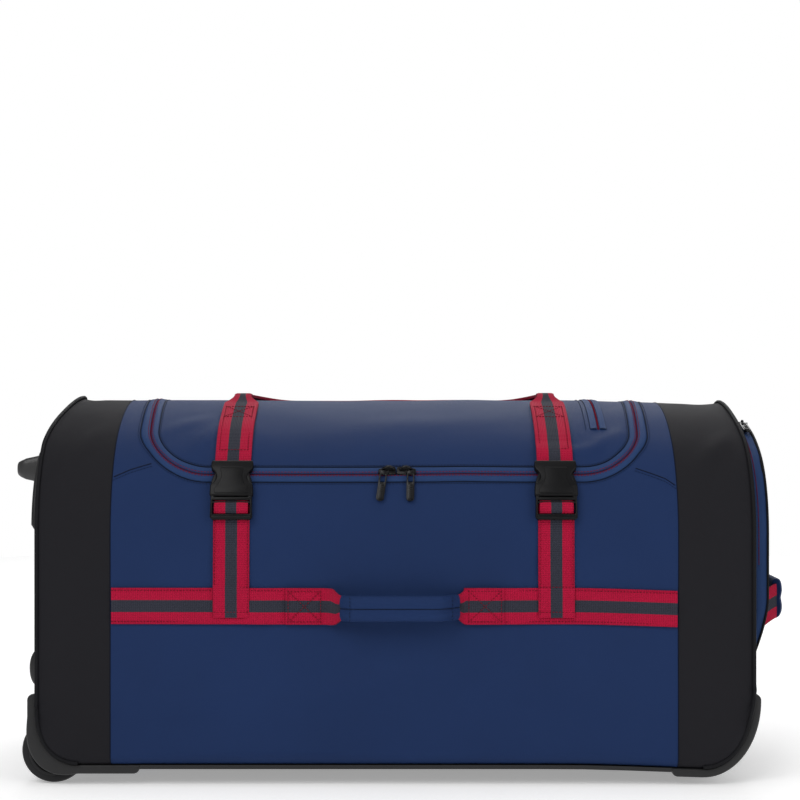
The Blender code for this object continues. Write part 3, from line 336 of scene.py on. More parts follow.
class Paint:
    """One material, with its shader and the means to vary it."""

    def __init__(self, name, roughness, metallic=0.0):
        self.material = bpy.data.materials.new(name)
        self.material.use_nodes = True
        self.tree = self.material.node_tree
        self.shader = self.tree.nodes["Principled BSDF"]
        self.shader.inputs["Roughness"].default_value = roughness
        self.shader.inputs["Metallic"].default_value = metallic

    def feed(self, socket, value):
        if isinstance(value, Value):
            self.tree.links.new(value.socket, socket)
        else:
            socket.default_value = value

    def node(self, kind, output, settings=(), **inputs):
        made = self.tree.nodes.new(kind)
        for name, value in settings:
            setattr(made, name, value)
        for name, value in inputs.items():
            self.feed(made.inputs[name.replace("_", " ").strip()], value)
        return Value(self, made.outputs[output])

    def place(self):
        return self.node("ShaderNodeTexCoord", "Object")

    def cloth_place(self):
        """(across, along) of the cloth, from the piece's own map."""
        spot = self.node("ShaderNodeUVMap", "UV", (("uv_map", "cloth"),))
        parts = self.node("ShaderNodeSeparateXYZ", "X", (), Vector=spot)
        made = parts.socket.node
        return parts, Value(self, made.outputs["Y"])

    def grain(self, scale, detail=3.0, place=None, stretch=(1, 1, 1)):
        """Smooth random values round a half."""
        spot = self.node(
            "ShaderNodeMapping", "Vector", (), Vector=place or self.place(), Scale=stretch
        )
        return self.node("ShaderNodeTexNoise", "Fac", (), Vector=spot, Scale=scale, Detail=detail)

    def mix(self, first, second, share):
        made = self.tree.nodes.new("ShaderNodeMix")
        made.data_type = "RGBA"
        self.feed(made.inputs[0], share)
        self.feed(made.inputs[6], first if isinstance(first, Value) else (*first, 1))
        self.feed(made.inputs[7], second if isinstance(second, Value) else (*second, 1))
        return Value(self, made.outputs[2])

    def colour(self, value):
        self.feed(self.shader.inputs["Base Color"], value)

    def roughness(self, value):
        self.feed(self.shader.inputs["Roughness"], value)

    def bump(self, height, distance, strength=1.0):
        made = self.tree.nodes.new("ShaderNodeBump")
        made.inputs["Strength"].default_value = strength
        made.inputs["Distance"].default_value = distance
        self.feed(made.inputs["Height"], height)
        self.tree.links.new(made.outputs["Normal"], self.shader.inputs["Normal"])


def shade(colour, factor):
    return tuple(channel * factor for channel in colour)


def cloth_paint(name, colour, roughness, sheen, yarn=0.00062):
    """Plain-woven bag cloth with a soft sheen."""
    paint = Paint(name, roughness)
    across, along = paint.cloth_place()
    turn = 2 * math.pi / yarn
    weave = (across * turn).sine() * (along * turn).sine()
    slub = paint.grain(900, 2.0)
    cloudy = paint.grain(9, 3.0)
    tone = cloudy * 0.7 + slub * 0.3
    paint.colour(paint.mix(shade(colour, 0.84), shade(colour, 1.16), tone))
    paint.roughness(cloudy * 0.10 + slub * 0.10 + (roughness - 0.10))
    crush = paint.grain(38, 4.0)
    paint.bump(weave * 0.10 + crush * 1.0 + slub * 0.12, 0.0009, 0.55)
    paint.shader.inputs["Sheen Weight"].default_value = sheen * 0.12
    paint.shader.inputs["Sheen Roughness"].default_value = 0.45
    paint.shader.inputs["Sheen Tint"].default_value = (*[min(c * 4 + 0.15, 1) for c in colour], 1)
    paint.shader.inputs["Specular IOR Level"].default_value = 0.08
    return paint.material


def webbing_paint(name, red, grey):
    """Woven webbing: red, grey and red stripes, ribbed along its length."""
    paint = Paint(name, 0.75)
    across, along = paint.cloth_place()
    middle = (across - 0.5).size()
    stripe = 1.0 - (middle > 0.165)
    ribs = (across * (2 * math.pi * 22)).sine()
    picks = (along * (2 * math.pi / 0.0023)).sine()
    offset = (along * (2 * math.pi / 0.0023) + across * (math.pi * 44)).sine()
    fuzz = paint.grain(700, 3.0)
    cloudy = paint.grain(60, 2.0)
    base = paint.mix(shade(red, 1.06), grey, stripe)
    # dark is a shaded copy of the stripes, mixed in for the painted shade and for random tone.
    dark = paint.mix(shade(red, 0.62), shade(grey, 0.55), stripe)
    # Colour share: the grooves between ribs and picks are painted darker as their shade; fuzz and cloudy give random
    # tone.
    mottling = ribs * 0.18 + picks * 0.24 + offset * 0.10 + fuzz * 0.5 + cloudy * 0.35
    # The outer edges are painted darker as the shade at the webbing's rounded edges.
    mottling = mottling + (middle > 0.47) * 0.3
    paint.colour(paint.mix(base, dark, mottling - 0.12))
    paint.roughness(fuzz * 0.2 + 0.62)
    paint.bump(ribs * 0.35 + picks * 0.30 + offset * 0.25 + fuzz * 0.25, 0.0006, 0.8)
    paint.shader.inputs["Sheen Weight"].default_value = 0.04
    paint.shader.inputs["Specular IOR Level"].default_value = 0.10
    return paint.material


def moulded_paint(name, colour, roughness, grain_scale=1100, depth=0.00025, gleam=0.28):
    """Moulded plastic with a fine grain and slight wear."""
    paint = Paint(name, roughness)
    fine = paint.grain(grain_scale, 2.0)
    mottling = paint.grain(26, 5.0)
    paint.colour(paint.mix(shade(colour, 0.86), shade(colour, 1.20), mottling))
    paint.roughness(mottling * 0.16 + fine * 0.08 + (roughness - 0.12))
    paint.bump(fine, depth, 0.6)
    paint.shader.inputs["Specular IOR Level"].default_value = gleam
    return paint.material


def thread_paint(name, colour):
    paint = Paint(name, 0.7)
    twist = paint.grain(2600, 1.0)
    paint.shader.inputs["Specular IOR Level"].default_value = 0.10
    paint.colour(paint.mix(shade(colour, 0.7), shade(colour, 1.25), twist))
    paint.bump(twist, 0.0002, 0.5)
    return paint.material


BLUE = (0.0105, 0.0262, 0.0860)
BLUE_BAND = (0.0175, 0.0410, 0.1180)
BLACK = (0.0125, 0.0122, 0.0148)
RED = (0.4000, 0.0040, 0.0360)
GREY = (0.0330, 0.0350, 0.0500)
blue = cloth_paint("blue_cloth", BLUE, 0.56, 0.22)
blue_band = cloth_paint("blue_band_cloth", BLUE_BAND, 0.58, 0.25)
black = cloth_paint("black_cloth", BLACK, 0.66, 0.10, 0.0008)
black_pocket = cloth_paint("black_pocket_cloth", shade(BLACK, 0.9), 0.70, 0.08, 0.0008)
piping = cloth_paint("piping_cloth", (0.0085, 0.0085, 0.0100), 0.55, 0.10)
webbing = webbing_paint("striped_webbing", RED, GREY)
moulded = moulded_paint("moulded_plastic", (0.0150, 0.0150, 0.0158), 0.42)
buckle_paint = moulded_paint("buckle_plastic", (0.0045, 0.0045, 0.0050), 0.33, 1500, 0.00012, 0.13)
gloss = moulded_paint("pull_plastic", (0.0040, 0.0040, 0.0046), 0.24, 600, 0.00005, 0.22)
tyre_paint = moulded_paint("tyre_rubber", (0.0090, 0.0090, 0.0100), 0.62, 700, 0.0003)
handle_paint = moulded_paint("handle_plastic", (0.0260, 0.0260, 0.0268), 0.36, gleam=0.45)
hub_paint = moulded_paint("hub_plastic", (0.0120, 0.0120, 0.0130), 0.42)
steel = moulded_paint("axle_steel", (0.4500, 0.4500, 0.4600), 0.34, gleam=0.5)
steel.node_tree.nodes["Principled BSDF"].inputs["Metallic"].default_value = 1.0
thread_blue = thread_paint("blue_thread", (0.0080, 0.0170, 0.0480))
thread_red = thread_paint("red_thread", (0.1500, 0.0050, 0.0160))
# Colour of the seam cords: painted shadow along the seams.
seam_shadow_paint = thread_paint("seam_shadow", (0.0040, 0.0060, 0.0140))


# Building meshes
def publish(name, mesh, material, body="bag", replaces=(), merge=1e-6, sharp=50):
    """Turns a bmesh into a piece that rides on a body."""
    if merge:
        bmesh.ops.remove_doubles(mesh, verts=mesh.verts[:], dist=merge)
    bmesh.ops.recalc_face_normals(mesh, faces=mesh.faces[:])
    data = bpy.data.meshes.new(name)
    mesh.to_mesh(data)
    mesh.free()
    data.materials.append(material)
    data.shade_smooth()
    data.set_sharp_from_angle(angle=math.radians(sharp))
    thing = bpy.data.objects.new(name, data)
    bpy.context.scene.collection.objects.link(thing)
    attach(thing, body)
    if replaces:
        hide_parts(*replaces)
    return thing


def add_grid(mesh, points, coords, around=False):
    """Adds a grid of points to a bmesh, with its cloth map in metres."""
    layer = mesh.loops.layers.uv.get("cloth") or mesh.loops.layers.uv.new("cloth")
    rows = [[mesh.verts.new(point) for point in row] for row in points]
    columns = len(points[0])
    for i in range(len(points) - 1):
        for j in range(columns if around else columns - 1):
            k = (j + 1) % columns
            corners = ((i, j), (i, k), (i + 1, k), (i + 1, j))
            verts = [rows[a][b] for a, b in corners]
            if len(set(tuple(round(c, 7) for c in vert.co) for vert in verts)) < 3:
                continue
            face = mesh.faces.new(verts)
            wide = around and k == 0
            for loop, (a, b) in zip(face.loops, corners):
                spot = coords[a][b]
                if wide and b == 0:
                    spot = (spot[0], coords[a][columns - 1][1] + 0.01)
                loop[layer].uv = spot
    return rows


def close_ends(mesh, rows):
    mesh.faces.new(rows[0])
    mesh.faces.new(rows[-1])


def close_cloth(mesh, row):
    """Closes a ring of cloth with a flat face, mapped by its own place."""
    cap = mesh.faces.new(row)
    layer = mesh.loops.layers.uv["cloth"]
    for loop in cap.loops:
        loop[layer].uv = (loop.vert.co.y, loop.vert.co.z)


def both_sides(half):
    """Half an outline, and its mirror image after it."""
    return list(half) + [(-spot[0], *spot[1:]) for spot in reversed(half)]


def patch(mesh, places, edge=0.003):
    """Cloth laid over the body: rows of (x, run), with its outline turned in by edge."""
    rows = [[skin(x, run) for x, run in row] for row in places]
    coords = [list(row) for row in places]
    if edge:
        rows = [[skin(*places[i][0], -edge)] + row + [skin(*places[i][-1], -edge)]
                for i, row in enumerate(rows)]
        coords = [[row[0]] + row + [row[-1]] for row in coords]
        first = [skin(*place, -edge) for place in coords[0]]
        last = [skin(*place, -edge) for place in coords[-1]]
        rows = [first] + rows + [last]
        coords = [coords[0]] + coords + [coords[-1]]
    add_grid(mesh, rows, coords)


def ribbon(name, stations, material, thick=WEBBING_THICK, body="bag", replaces=(), spread=(0, 1)):
    """Flat webbing: stations are (middle of its underside, across, out, width)."""
    top = spaced(-0.5, 0.5, 8)
    travelled = 0.0
    points = []
    coords = []
    for index, (middle, across, out, width) in enumerate(stations):
        if index:
            travelled += (middle - stations[index - 1][0]).length
        row = []
        spots = []
        for share in top:
            edge = 1 - 0.22 * max(abs(share) * 2 - 0.8, 0) / 0.2
            depth = thick[index] if isinstance(thick, list) else thick
            row.append(middle + across * share * width + out * depth * edge)
            spots.append((spread[0] + (share + 0.5) * (spread[1] - spread[0]), travelled))
        for share in (0.5, -0.5):
            row.append(middle + across * share * width)
            spots.append((spread[0] + (share + 0.5) * (spread[1] - spread[0]), travelled))
        points.append(row)
        coords.append(spots)
    mesh = bmesh.new()
    rows = add_grid(mesh, points, coords, around=True)
    layer = mesh.loops.layers.uv["cloth"]
    for end in (0, -1):
        face = mesh.faces.new(rows[end])
        for loop, spot in zip(face.loops, coords[end]):
            loop[layer].uv = spot
    return publish(name, mesh, material, body, replaces)


def tube(name, points, radius, material, body="bag", replaces=(), sides=8, closed=False):
    """Round cord through points."""
    frames = []
    normal = None
    count = len(points)
    for index, point in enumerate(points):
        before = points[index - 1] if index or closed else point
        after = points[(index + 1) % count] if index < count - 1 or closed else point
        tangent = (after - before).normalized()
        if normal is None:
            normal = tangent.orthogonal()
        normal = (normal - tangent * normal.dot(tangent)).normalized()
        frames.append((point, normal.copy(), tangent.cross(normal)))
    rows = []
    coords = []
    travelled = 0.0
    for index, (point, first, second) in enumerate(frames):
        if index:
            travelled += (point - points[index - 1]).length
        angles = [2 * math.pi * side / sides for side in range(sides)]
        rows.append([point + (first * math.cos(a) + second * math.sin(a)) * radius for a in angles])
        coords.append([(a * radius, travelled) for a in angles])
    if closed:
        rows.append(rows[0])
        coords.append(coords[0])
    mesh = bmesh.new()
    made = add_grid(mesh, rows, coords, around=True)
    if not closed:
        close_ends(mesh, made)
    return publish(name, mesh, material, body, replaces)


def outline_solid(name, outlines, low, high, place, material, body="bag", replaces=(), bevel=0.0):
    """A flat outline, with any holes, given thickness and rounded edges, then set in place."""
    curve = bpy.data.curves.new(name, "CURVE")
    curve.dimensions = "2D"
    curve.fill_mode = "BOTH"
    curve.extrude = (high - low) / 2 - bevel
    curve.bevel_depth = bevel
    curve.bevel_resolution = 2
    curve.offset = -bevel
    for outline in outlines:
        line = curve.splines.new("POLY")
        line.points.add(len(outline) - 1)
        line.use_cyclic_u = True
        for spot, (x, y) in zip(line.points, outline):
            spot.co = (x, y, 0, 1)
    holder = bpy.data.objects.new(name + "_outline", curve)
    bpy.context.scene.collection.objects.link(holder)
    evaluated = holder.evaluated_get(bpy.context.evaluated_depsgraph_get())
    data = bpy.data.meshes.new_from_object(evaluated)
    bpy.data.objects.remove(holder, do_unlink=True)
    mesh = bmesh.new()
    mesh.from_mesh(data)
    bmesh.ops.remove_doubles(mesh, verts=mesh.verts[:], dist=1e-6)
    middle = (low + high) / 2
    for vert in mesh.verts:
        vert.co = place(vert.co.x, vert.co.y, vert.co.z + middle)
    return publish(name, mesh, material, body, replaces, merge=0, sharp=35)


def rounded_outline(points, radius, steps=4):
    """Outline whose corners are rounded; points are (x, y) or (x, y, own radius)."""
    result = []
    count = len(points)
    for index, point in enumerate(points):
        here = Vector(point[:2])
        size = point[2] if len(point) > 2 else radius
        before = Vector(points[index - 1][:2])
        after = Vector(points[(index + 1) % count][:2])
        first = (before - here)
        second = (after - here)
        reach = min(size, first.length / 2.05, second.length / 2.05)
        a = here + first.normalized() * reach
        b = here + second.normalized() * reach
        for share in spaced(0, 1, steps):
            spot = a * (1 - share) ** 2 + here * 2 * share * (1 - share) + b * share ** 2
            result.append((spot.x, spot.y))
    return result


# Stitches
def stitch_tree():
    """Short rounded stitches, one after another, along the lines of a mesh."""
    tree = bpy.data.node_groups.new("stitch_row", "GeometryNodeTree")
    for name, kind, way in (
        ("Geometry", "Geometry", "INPUT"),
        ("Pitch", "Float", "INPUT"),
        ("Length", "Float", "INPUT"),
        ("Radius", "Float", "INPUT"),
        ("Thread", "Material", "INPUT"),
        ("Geometry", "Geometry", "OUTPUT"),
    ):
        tree.interface.new_socket(name, in_out=way, socket_type="NodeSocket" + kind)

    def add(kind, values=(), **settings):
        made = tree.nodes.new(kind)
        for name, value in settings.items():
            setattr(made, name, value)
        for name, value in values:
            made.inputs[name].default_value = value
        return made

    start = add("NodeGroupInput")
    end = add("NodeGroupOutput")
    curve = add("GeometryNodeMeshToCurve")
    spots = add("GeometryNodeCurveToPoints", mode="LENGTH")
    turn = add("FunctionNodeAlignRotationToVector", axis="Z")
    ball = add("GeometryNodeMeshUVSphere", (("Segments", 6), ("Rings", 4), ("Radius", 1.0)))
    size = add("ShaderNodeCombineXYZ")
    half = add("ShaderNodeMath", ((1, 0.5),), operation="MULTIPLY")
    place = add("GeometryNodeInstanceOnPoints")
    real = add("GeometryNodeRealizeInstances")
    thread = add("GeometryNodeSetMaterial")
    for source, output, target, socket in (
        (start, "Geometry", curve, "Mesh"),
        (curve, 0, spots, "Curve"),
        (start, "Pitch", spots, "Length"),
        (spots, "Points", place, "Points"),
        (spots, "Tangent", turn, "Vector"),
        (turn, "Rotation", place, "Rotation"),
        (ball, "Mesh", place, "Instance"),
        (start, "Radius", size, "X"),
        (start, "Radius", size, "Y"),
        (start, "Length", half, 0),
        (half, 0, size, "Z"),
        (size, 0, place, "Scale"),
        (place, "Instances", real, "Geometry"),
        (real, "Geometry", thread, "Geometry"),
        (start, "Thread", thread, "Material"),
        (thread, "Geometry", end, "Geometry"),
    ):
        tree.links.new(source.outputs[output], target.inputs[socket])
    return tree


STITCHES = stitch_tree()


def stitches(name, lines, material, pitch=0.0034, length=0.0026, radius=0.00038, body="bag"):
    """Rows of stitches along lines of points, as one piece."""
    mesh = bmesh.new()
    for line in lines:
        verts = [mesh.verts.new(point) for point in line]
        for first, second in zip(verts, verts[1:]):
            mesh.edges.new((first, second))
    data = bpy.data.meshes.new(name + "_lines")
    mesh.to_mesh(data)
    mesh.free()
    holder = bpy.data.objects.new(name + "_lines", data)
    bpy.context.scene.collection.objects.link(holder)
    rows = holder.modifiers.new("stitches", "NODES")
    rows.node_group = STITCHES
    values = {"Pitch": pitch, "Length": length, "Radius": radius, "Thread": material}
    for item in STITCHES.interface.items_tree:
        if item.in_out == "INPUT" and item.name in values:
            rows[item.identifier] = values[item.name]
    evaluated = holder.evaluated_get(bpy.context.evaluated_depsgraph_get())
    made = bpy.data.meshes.new_from_object(evaluated)
    bpy.data.objects.remove(holder, do_unlink=True)
    made.name = name
    made.shade_smooth()
    if not made.materials:
        made.materials.append(material)
    thing = bpy.data.objects.new(name, made)
    bpy.context.scene.collection.objects.link(thing)
    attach(thing, body)
    return thing


def laid_line(places, lift, step=0.004):
    """Points along (x, run) places on the cloth, close together."""
    points = []
    for (x0, r0), (x1, r1) in zip(places, places[1:]):
        count = max(1, round(math.hypot(x1 - x0, r1 - r0) / step))
        for share in spaced(0, 1, count)[:-1]:
            points.append(skin(x0 + (x1 - x0) * share, r0 + (r1 - r0) * share, lift))
    points.append(skin(*places[-1], lift))
    return points


def box_with_cross(x0, x1, r0, r1):
    """A sewn box with a cross in it."""
    corners = [(x0, r0), (x1, r0), (x1, r1), (x0, r1), (x0, r0)]
    return [corners, [(x0, r0), (x1, r1)], [(x1, r0), (x0, r1)]]


# Cloth of the body
def opening_columns(offset, corner_steps=16, straight_steps=70):
    corner = []
    reach = LID_CORNER + offset
    for angle in spaced(0.0, math.pi / 2, corner_steps):
        run = LID_RUN - LID_CORNER + reach * math.sin(angle)
        corner.append((LID_CORNER - reach * math.cos(angle), run))
    columns = [(LID_LEFT + along, run) for along, run in corner]
    straight = spaced(LID_LEFT + LID_CORNER, LID_RIGHT - LID_CORNER, straight_steps)[1:-1]
    columns += [(u, LID_RUN + offset) for u in straight]
    return columns + [(LID_RIGHT - along, run) for along, run in reversed(corner)]


def around_runs(x, near, far):
    """Runs from far, down the far side, under, and up the near side to near."""
    low = UPRIGHT_RUN + side_run(x)
    bottom = low + BOTTOM_RUN
    middle = bottom + HALF_DEPTH - BOTTOM_RADIUS
    runs = spaced(far, UPRIGHT_RUN, 12)[:-1] + spaced(UPRIGHT_RUN, low, 30)[:-1]
    runs += spaced(low, bottom, 6)[:-1] + spaced(bottom, middle, 5)
    runs += [-run for run in spaced(middle, bottom, 5)[1:-1]]
    runs += [-run for run in spaced(bottom, low, 6)[:-1]]
    runs += [-run for run in spaced(low, UPRIGHT_RUN, 64)[:-1]]
    return runs + [-run for run in spaced(UPRIGHT_RUN, near, 22)]


def make_centre_cloth():
    opening = opening_columns(ZIP_BAND / 2)
    left = [(u, opening[0][1]) for u in spaced(SEAM_LEFT, opening[0][0], 7)[:-1]]
    right = [(u, opening[-1][1]) for u in spaced(opening[-1][0], SEAM_RIGHT, 7)[1:]]
    columns = left + opening + right
    mesh = bmesh.new()
    places = []
    for u, near in columns:
        runs = around_runs(lean(u, near), near, LID_RUN)
        places.append([(lean(u, run), run) for run in runs])
    patch(mesh, places)
    for strip in (columns[:8], columns[-8:]):
        places = []
        for u, near in strip:
            runs = spaced(-near, LID_RUN, 90)
            places.append([(lean(u, run), run) for run in runs])
        patch(mesh, places)
    publish("centre_cloth", mesh, blue, replaces=("centre_shell",), sharp=60)


def make_lid_cloth():
    places = []
    for u, near in opening_columns(-ZIP_BAND / 2):
        places.append([(lean(u, run), run) for run in spaced(-near, LID_RUN - GAP, 110)])
    mesh = bmesh.new()
    patch(mesh, places)
    publish("lid_cloth", mesh, blue, replaces=("lid",), sharp=60)


def zip_line(offset, arm_steps=60):
    columns = opening_columns(offset)
    arm = spaced(LID_RUN, -columns[0][1], arm_steps)[:-1]
    line = [(columns[0][0], run) for run in arm]
    line += [(u, -run) for u, run in columns]
    line += [(columns[-1][0], run) for run in reversed(arm)]
    return [(lean(u, run), run) for u, run in line]


def make_lid_zip():
    """Two flaps of cloth that almost meet over the coil."""
    half = ZIP_BAND / 2
    profile = both_sides((
        (half, -0.0022),
        (half, -0.0004),
        (half - 0.0012, 0.0009),
        (half * 0.55, 0.0013),
        (half * 0.22, 0.0015),
        (half * 0.10, 0.0008),
        (half * 0.07, -0.0020),
    ))
    lines = [(zip_line(offset), lift) for offset, lift in profile]
    steps = range(len(lines[0][0]))
    mesh = bmesh.new()
    add_grid(
        mesh,
        [[skin(*line[step], lift) for line, lift in lines] for step in steps],
        [[line[step] for line, _ in lines] for step in steps],
    )
    publish("lid_zip_flaps", mesh, blue_band, replaces=("lid_zip",), sharp=60)
    for side in (1, -1):
        seam_shadow_lines.append((laid_line(zip_line(side * (half + 0.0004)), 0.0001), 0.0005))
        threads["red"].append(laid_line(zip_line(side * half * 0.24), 0.0016))
        threads["blue"].append(laid_line(zip_line(side * (half + 0.0022)), 0.0002))
    coil = laid_line(zip_line(0.0), -0.0004)
    stitches("lid_zip_coil", [coil], thread_red, 0.0016, 0.0011, 0.0009)


def make_lid_pocket():
    """Small zipped pocket in the lid."""
    middle = LID_POCKET_X
    half = LID_POCKET_HALF
    reach = LID_POCKET_REACH
    profile = both_sides((
        (half, -0.0020),
        (half, 0.0010),
        (half * 0.5, 0.0017),
        (half * 0.2, 0.0014),
        (half * 0.12, -0.0010),
    ))
    runs = spaced(-reach, reach, 80)
    mesh = bmesh.new()
    add_grid(
        mesh,
        [[skin(middle + offset, run, lift) for offset, lift in profile] for run in runs],
        [[(middle + offset, run) for offset, _ in profile] for run in runs],
    )
    publish("lid_pocket_flaps", mesh, blue_band, replaces=("lid_pocket_zip",), sharp=60)

    def row(x, lift):
        return laid_line([(x, -reach), (x, reach)], lift)

    stitches("lid_pocket_coil", [row(middle, 0.0006)], thread_red, 0.0016, 0.0011, 0.0010)
    for x in (middle - half, middle + half):
        seam_shadow_lines.append((row(x, 0.0004), 0.0005))
    threads["blue"].append(row(middle - 0.0135, 0.0003))


def cut_wells(mesh):
    """Opens the cloth where the wheels stand in their housings."""
    for side in (-1, 1):
        low_y, high_y = sorted(side * y for y in WELL_SIDES)

        def inside(margin):
            found = []
            for face in mesh.faces:
                spot = face.calc_center_median()
                level = low_y - margin < spot.y < high_y + margin
                if level and spot.x < WELL_BACK + margin and spot.z < WELL_TOP + margin:
                    found.append(face)
            return found

        for spot, normal in (
            ((WELL_BACK, 0, 0), (1, 0, 0)),
            ((0, low_y, 0), (0, 1, 0)),
            ((0, high_y, 0), (0, 1, 0)),
            ((0, 0, WELL_TOP), (0, 0, 1)),
        ):
            faces = inside(0.05)
            edges = list({edge for face in faces for edge in face.edges})
            verts = list({vert for face in faces for vert in face.verts})
            bmesh.ops.bisect_plane(mesh, geom=verts + edges + faces, plane_co=spot, plane_no=normal)
        bmesh.ops.delete(mesh, geom=inside(0.0), context="FACES")


def make_end_cloth(name, node, seam, end, toe):
    """Black cup over an end, with its flat face."""
    out = -1 if end < seam else 1
    columns = spaced(seam, end - out * toe, 14)[:-1]
    columns += [end - out * toe * (1 - math.sin(angle)) for angle in spaced(0, math.pi / 2, 16)]
    rows = []
    coords = []
    for x in columns[:1] + columns:
        low = [run for run in around_runs(x, 0.0, 0.0) if run >= UPRIGHT_RUN]
        runs = spaced(0.0, UPRIGHT_RUN, 44)[:-1] + low
        runs += [-run for run in reversed(runs[1:-1])]
        lift = 0.0 if rows else -0.003
        rows.append([skin(x, run, lift) for run in runs])
        coords.append([(x, run) for run in runs])
    rim = rows[-1]
    middle = sum(rim, Vector()) / len(rim)
    for share in (0.985, 0.95, 0.85, 0.7, 0.5, 0.3, 0.1):
        rows.append([middle + (point - middle) * share for point in rim])
        coords.append([(point.y * share, point.z * share) for point in rim])
    mesh = bmesh.new()
    made = add_grid(mesh, rows, coords, around=True)
    close_cloth(mesh, made[-1])
    if out < 0:
        cut_wells(mesh)
    publish(name, mesh, black, replaces=(node,), sharp=60)
    ring = [skin(seam + out * 0.0003, run, 0.0001) for run in around_runs(seam, 0.0, 0.0)]
    seam_shadow_lines.append((ring, 0.0006))


def make_piping(name, end):
    out = -1 if end < 0 else 1
    reach = -0.0010 if out < 0 else 0.0012
    low = UPRIGHT_RUN + side_run(end)
    points = []
    for run in spaced(-low, low, 150):
        point = skin(end, run, 0.0012)
        points.append(Vector((point.x + out * reach, point.y, point.z)))
    toe = LEFT_TOE if out < 0 else RIGHT_TOE
    corner = []
    for angle in spaced(0.0, math.pi / 2, 24):
        x = end - out * toe[0] * (1 - math.sin(angle))
        under = 0.60 * BOTTOM_RUN * (1 - ease((angle - 0.7) / 0.8))
        edge = skin(x, -(UPRIGHT_RUN + side_run(x) - 0.0005 + under), 0.0008)
        push = reach * ease((angle - 1.1) / 0.4)
        corner.append(edge + Vector((out * push, 0, 0)))
    points = corner[:-1] + points + [Vector((p.x, -p.y, p.z)) for p in reversed(corner[:-1])]
    tube(name + "_cord", points, PIPING_RADIUS, piping, replaces=(name,), sides=10)


# Webbing laid on the body
def cloth_lift(x, run, half):
    """Height of the cloth's folds under a width of webbing."""
    return max(crease_at(x + share * half, run) for share in (-1, -0.5, 0, 0.5, 1))


def strap_stations(middle_x, runs, lift, widths=None):
    """Stations of webbing that runs round the body; lift is a number or a function of the run."""
    stations = []
    for index, run in enumerate(runs):
        width = widths[index] if widths else WEBBING
        height = lift(run) if callable(lift) else lift
        base = skin(middle_x, run, height + cloth_lift(middle_x, run, width / 2), folds=False)
        stations.append((base, Vector((1, 0, 0)), out_at(middle_x, run), width))
    return stations


def band_stations(start, end, steps, side=-1, spots=(-1, -0.5, 0, 0.5, 1)):
    """Stations of the level webbing on one side of the bag."""
    stations = []
    run = side * run_at_z(BAND_Z)
    for x in spaced(start, end, steps):
        height = max(crease_at(x, run + spot * WEBBING / 2) for spot in spots)
        base = skin(x, run, GAP + height, folds=False)
        stations.append((base, Vector((0, 0, 1)), Vector((0, side, 0)), WEBBING))
    return stations


def sew(lift, lines):
    """Rows of red stitches over lines of (x, run) places."""
    for line in lines:
        threads["red"].append(laid_line(line, lift))


def make_near_straps():
    over = WEBBING_GAP + 0.0024
    band_run = run_at_z(BAND_Z + WEBBING / 2)
    tail = run_at_z(STRAP_TAIL_Z)
    start = BUCKLE_TOP_RUN + SOCKET_LENGTH + FRAME_LENGTH
    fold = [-run for run in spaced(start - 0.0200, start - 0.0050, 16)]

    def lower_lift(run):
        return WEBBING_GAP + (over - WEBBING_GAP) * ease((-run - band_run + 0.006) / 0.006)

    def loop_lift(run):
        share = (run - fold[0]) / (fold[-1] - fold[0])
        return 0.0030 + 0.0048 * math.sin(math.pi * min(max(share, 0), 1)) ** 0.6

    for side, x in STRAPS:
        name = f"strap_{side}_upper"
        runs = [-run for run in spaced(STRAP_TOP_RUN, BUCKLE_TOP_RUN + 0.004, 44)]
        ribbon(name + "_webbing", strap_stations(x, runs, WEBBING_GAP), webbing, replaces=(name,))
        doubled = [-run for run in spaced(0.0612, BUCKLE_TOP_RUN + 0.003, 40)]
        stations = strap_stations(x, doubled, WEBBING_GAP + WEBBING_THICK)
        ribbon(name + "_doubled", stations, webbing, 0.0016)
        left = x - STITCH_HALF
        right = x + STITCH_HALF
        box = box_with_cross(left, right, -0.0750, -0.1080)
        box.append([(left, -0.1080), (left, -0.1710), (right, -0.1710), (right, -0.1080)])
        sew(WEBBING_GAP + WEBBING_THICK + 0.0022, box)
        name = f"strap_{side}_lower"
        runs = [-run for run in spaced(start - 0.016, tail, 54)]
        ribbon(name + "_webbing", strap_stations(x, runs, lower_lift), webbing, replaces=(name,))
        for edge in (x - 0.0172, x + 0.0172):
            sew(over + 0.0014, [[(edge, -start - 0.001), (edge, -tail + 0.004)]])
        for row in (tail - 0.006, tail - 0.032):
            sew(over + 0.0020, [[(x - 0.017, -row), (x + 0.017, -row)]])
        stations = strap_stations(x, fold, loop_lift, [WEBBING * 0.93] * len(fold))
        ribbon(f"{name}_loop", stations, webbing)


def make_far_straps():
    band_run = run_at_z(BAND_Z + WEBBING / 2)
    tail = run_at_z(STRAP_TAIL_Z)
    row = tail - 0.006

    def lift(run):
        return WEBBING_GAP + 0.0024 * ease((run - band_run + 0.006) / 0.006)

    for side, x in STRAPS:
        name = f"strap_{side}_far"
        stations = strap_stations(x, spaced(FAR_STRAP_TOP_RUN, tail, 70), lift)
        ribbon(name + "_webbing", stations, webbing, replaces=(name,))
        sew(0.0050, [[(x - 0.017, row), (x + 0.017, row)]])
        sew(0.0026, box_with_cross(x - STITCH_HALF, x + STITCH_HALF, 0.1460, 0.1640))


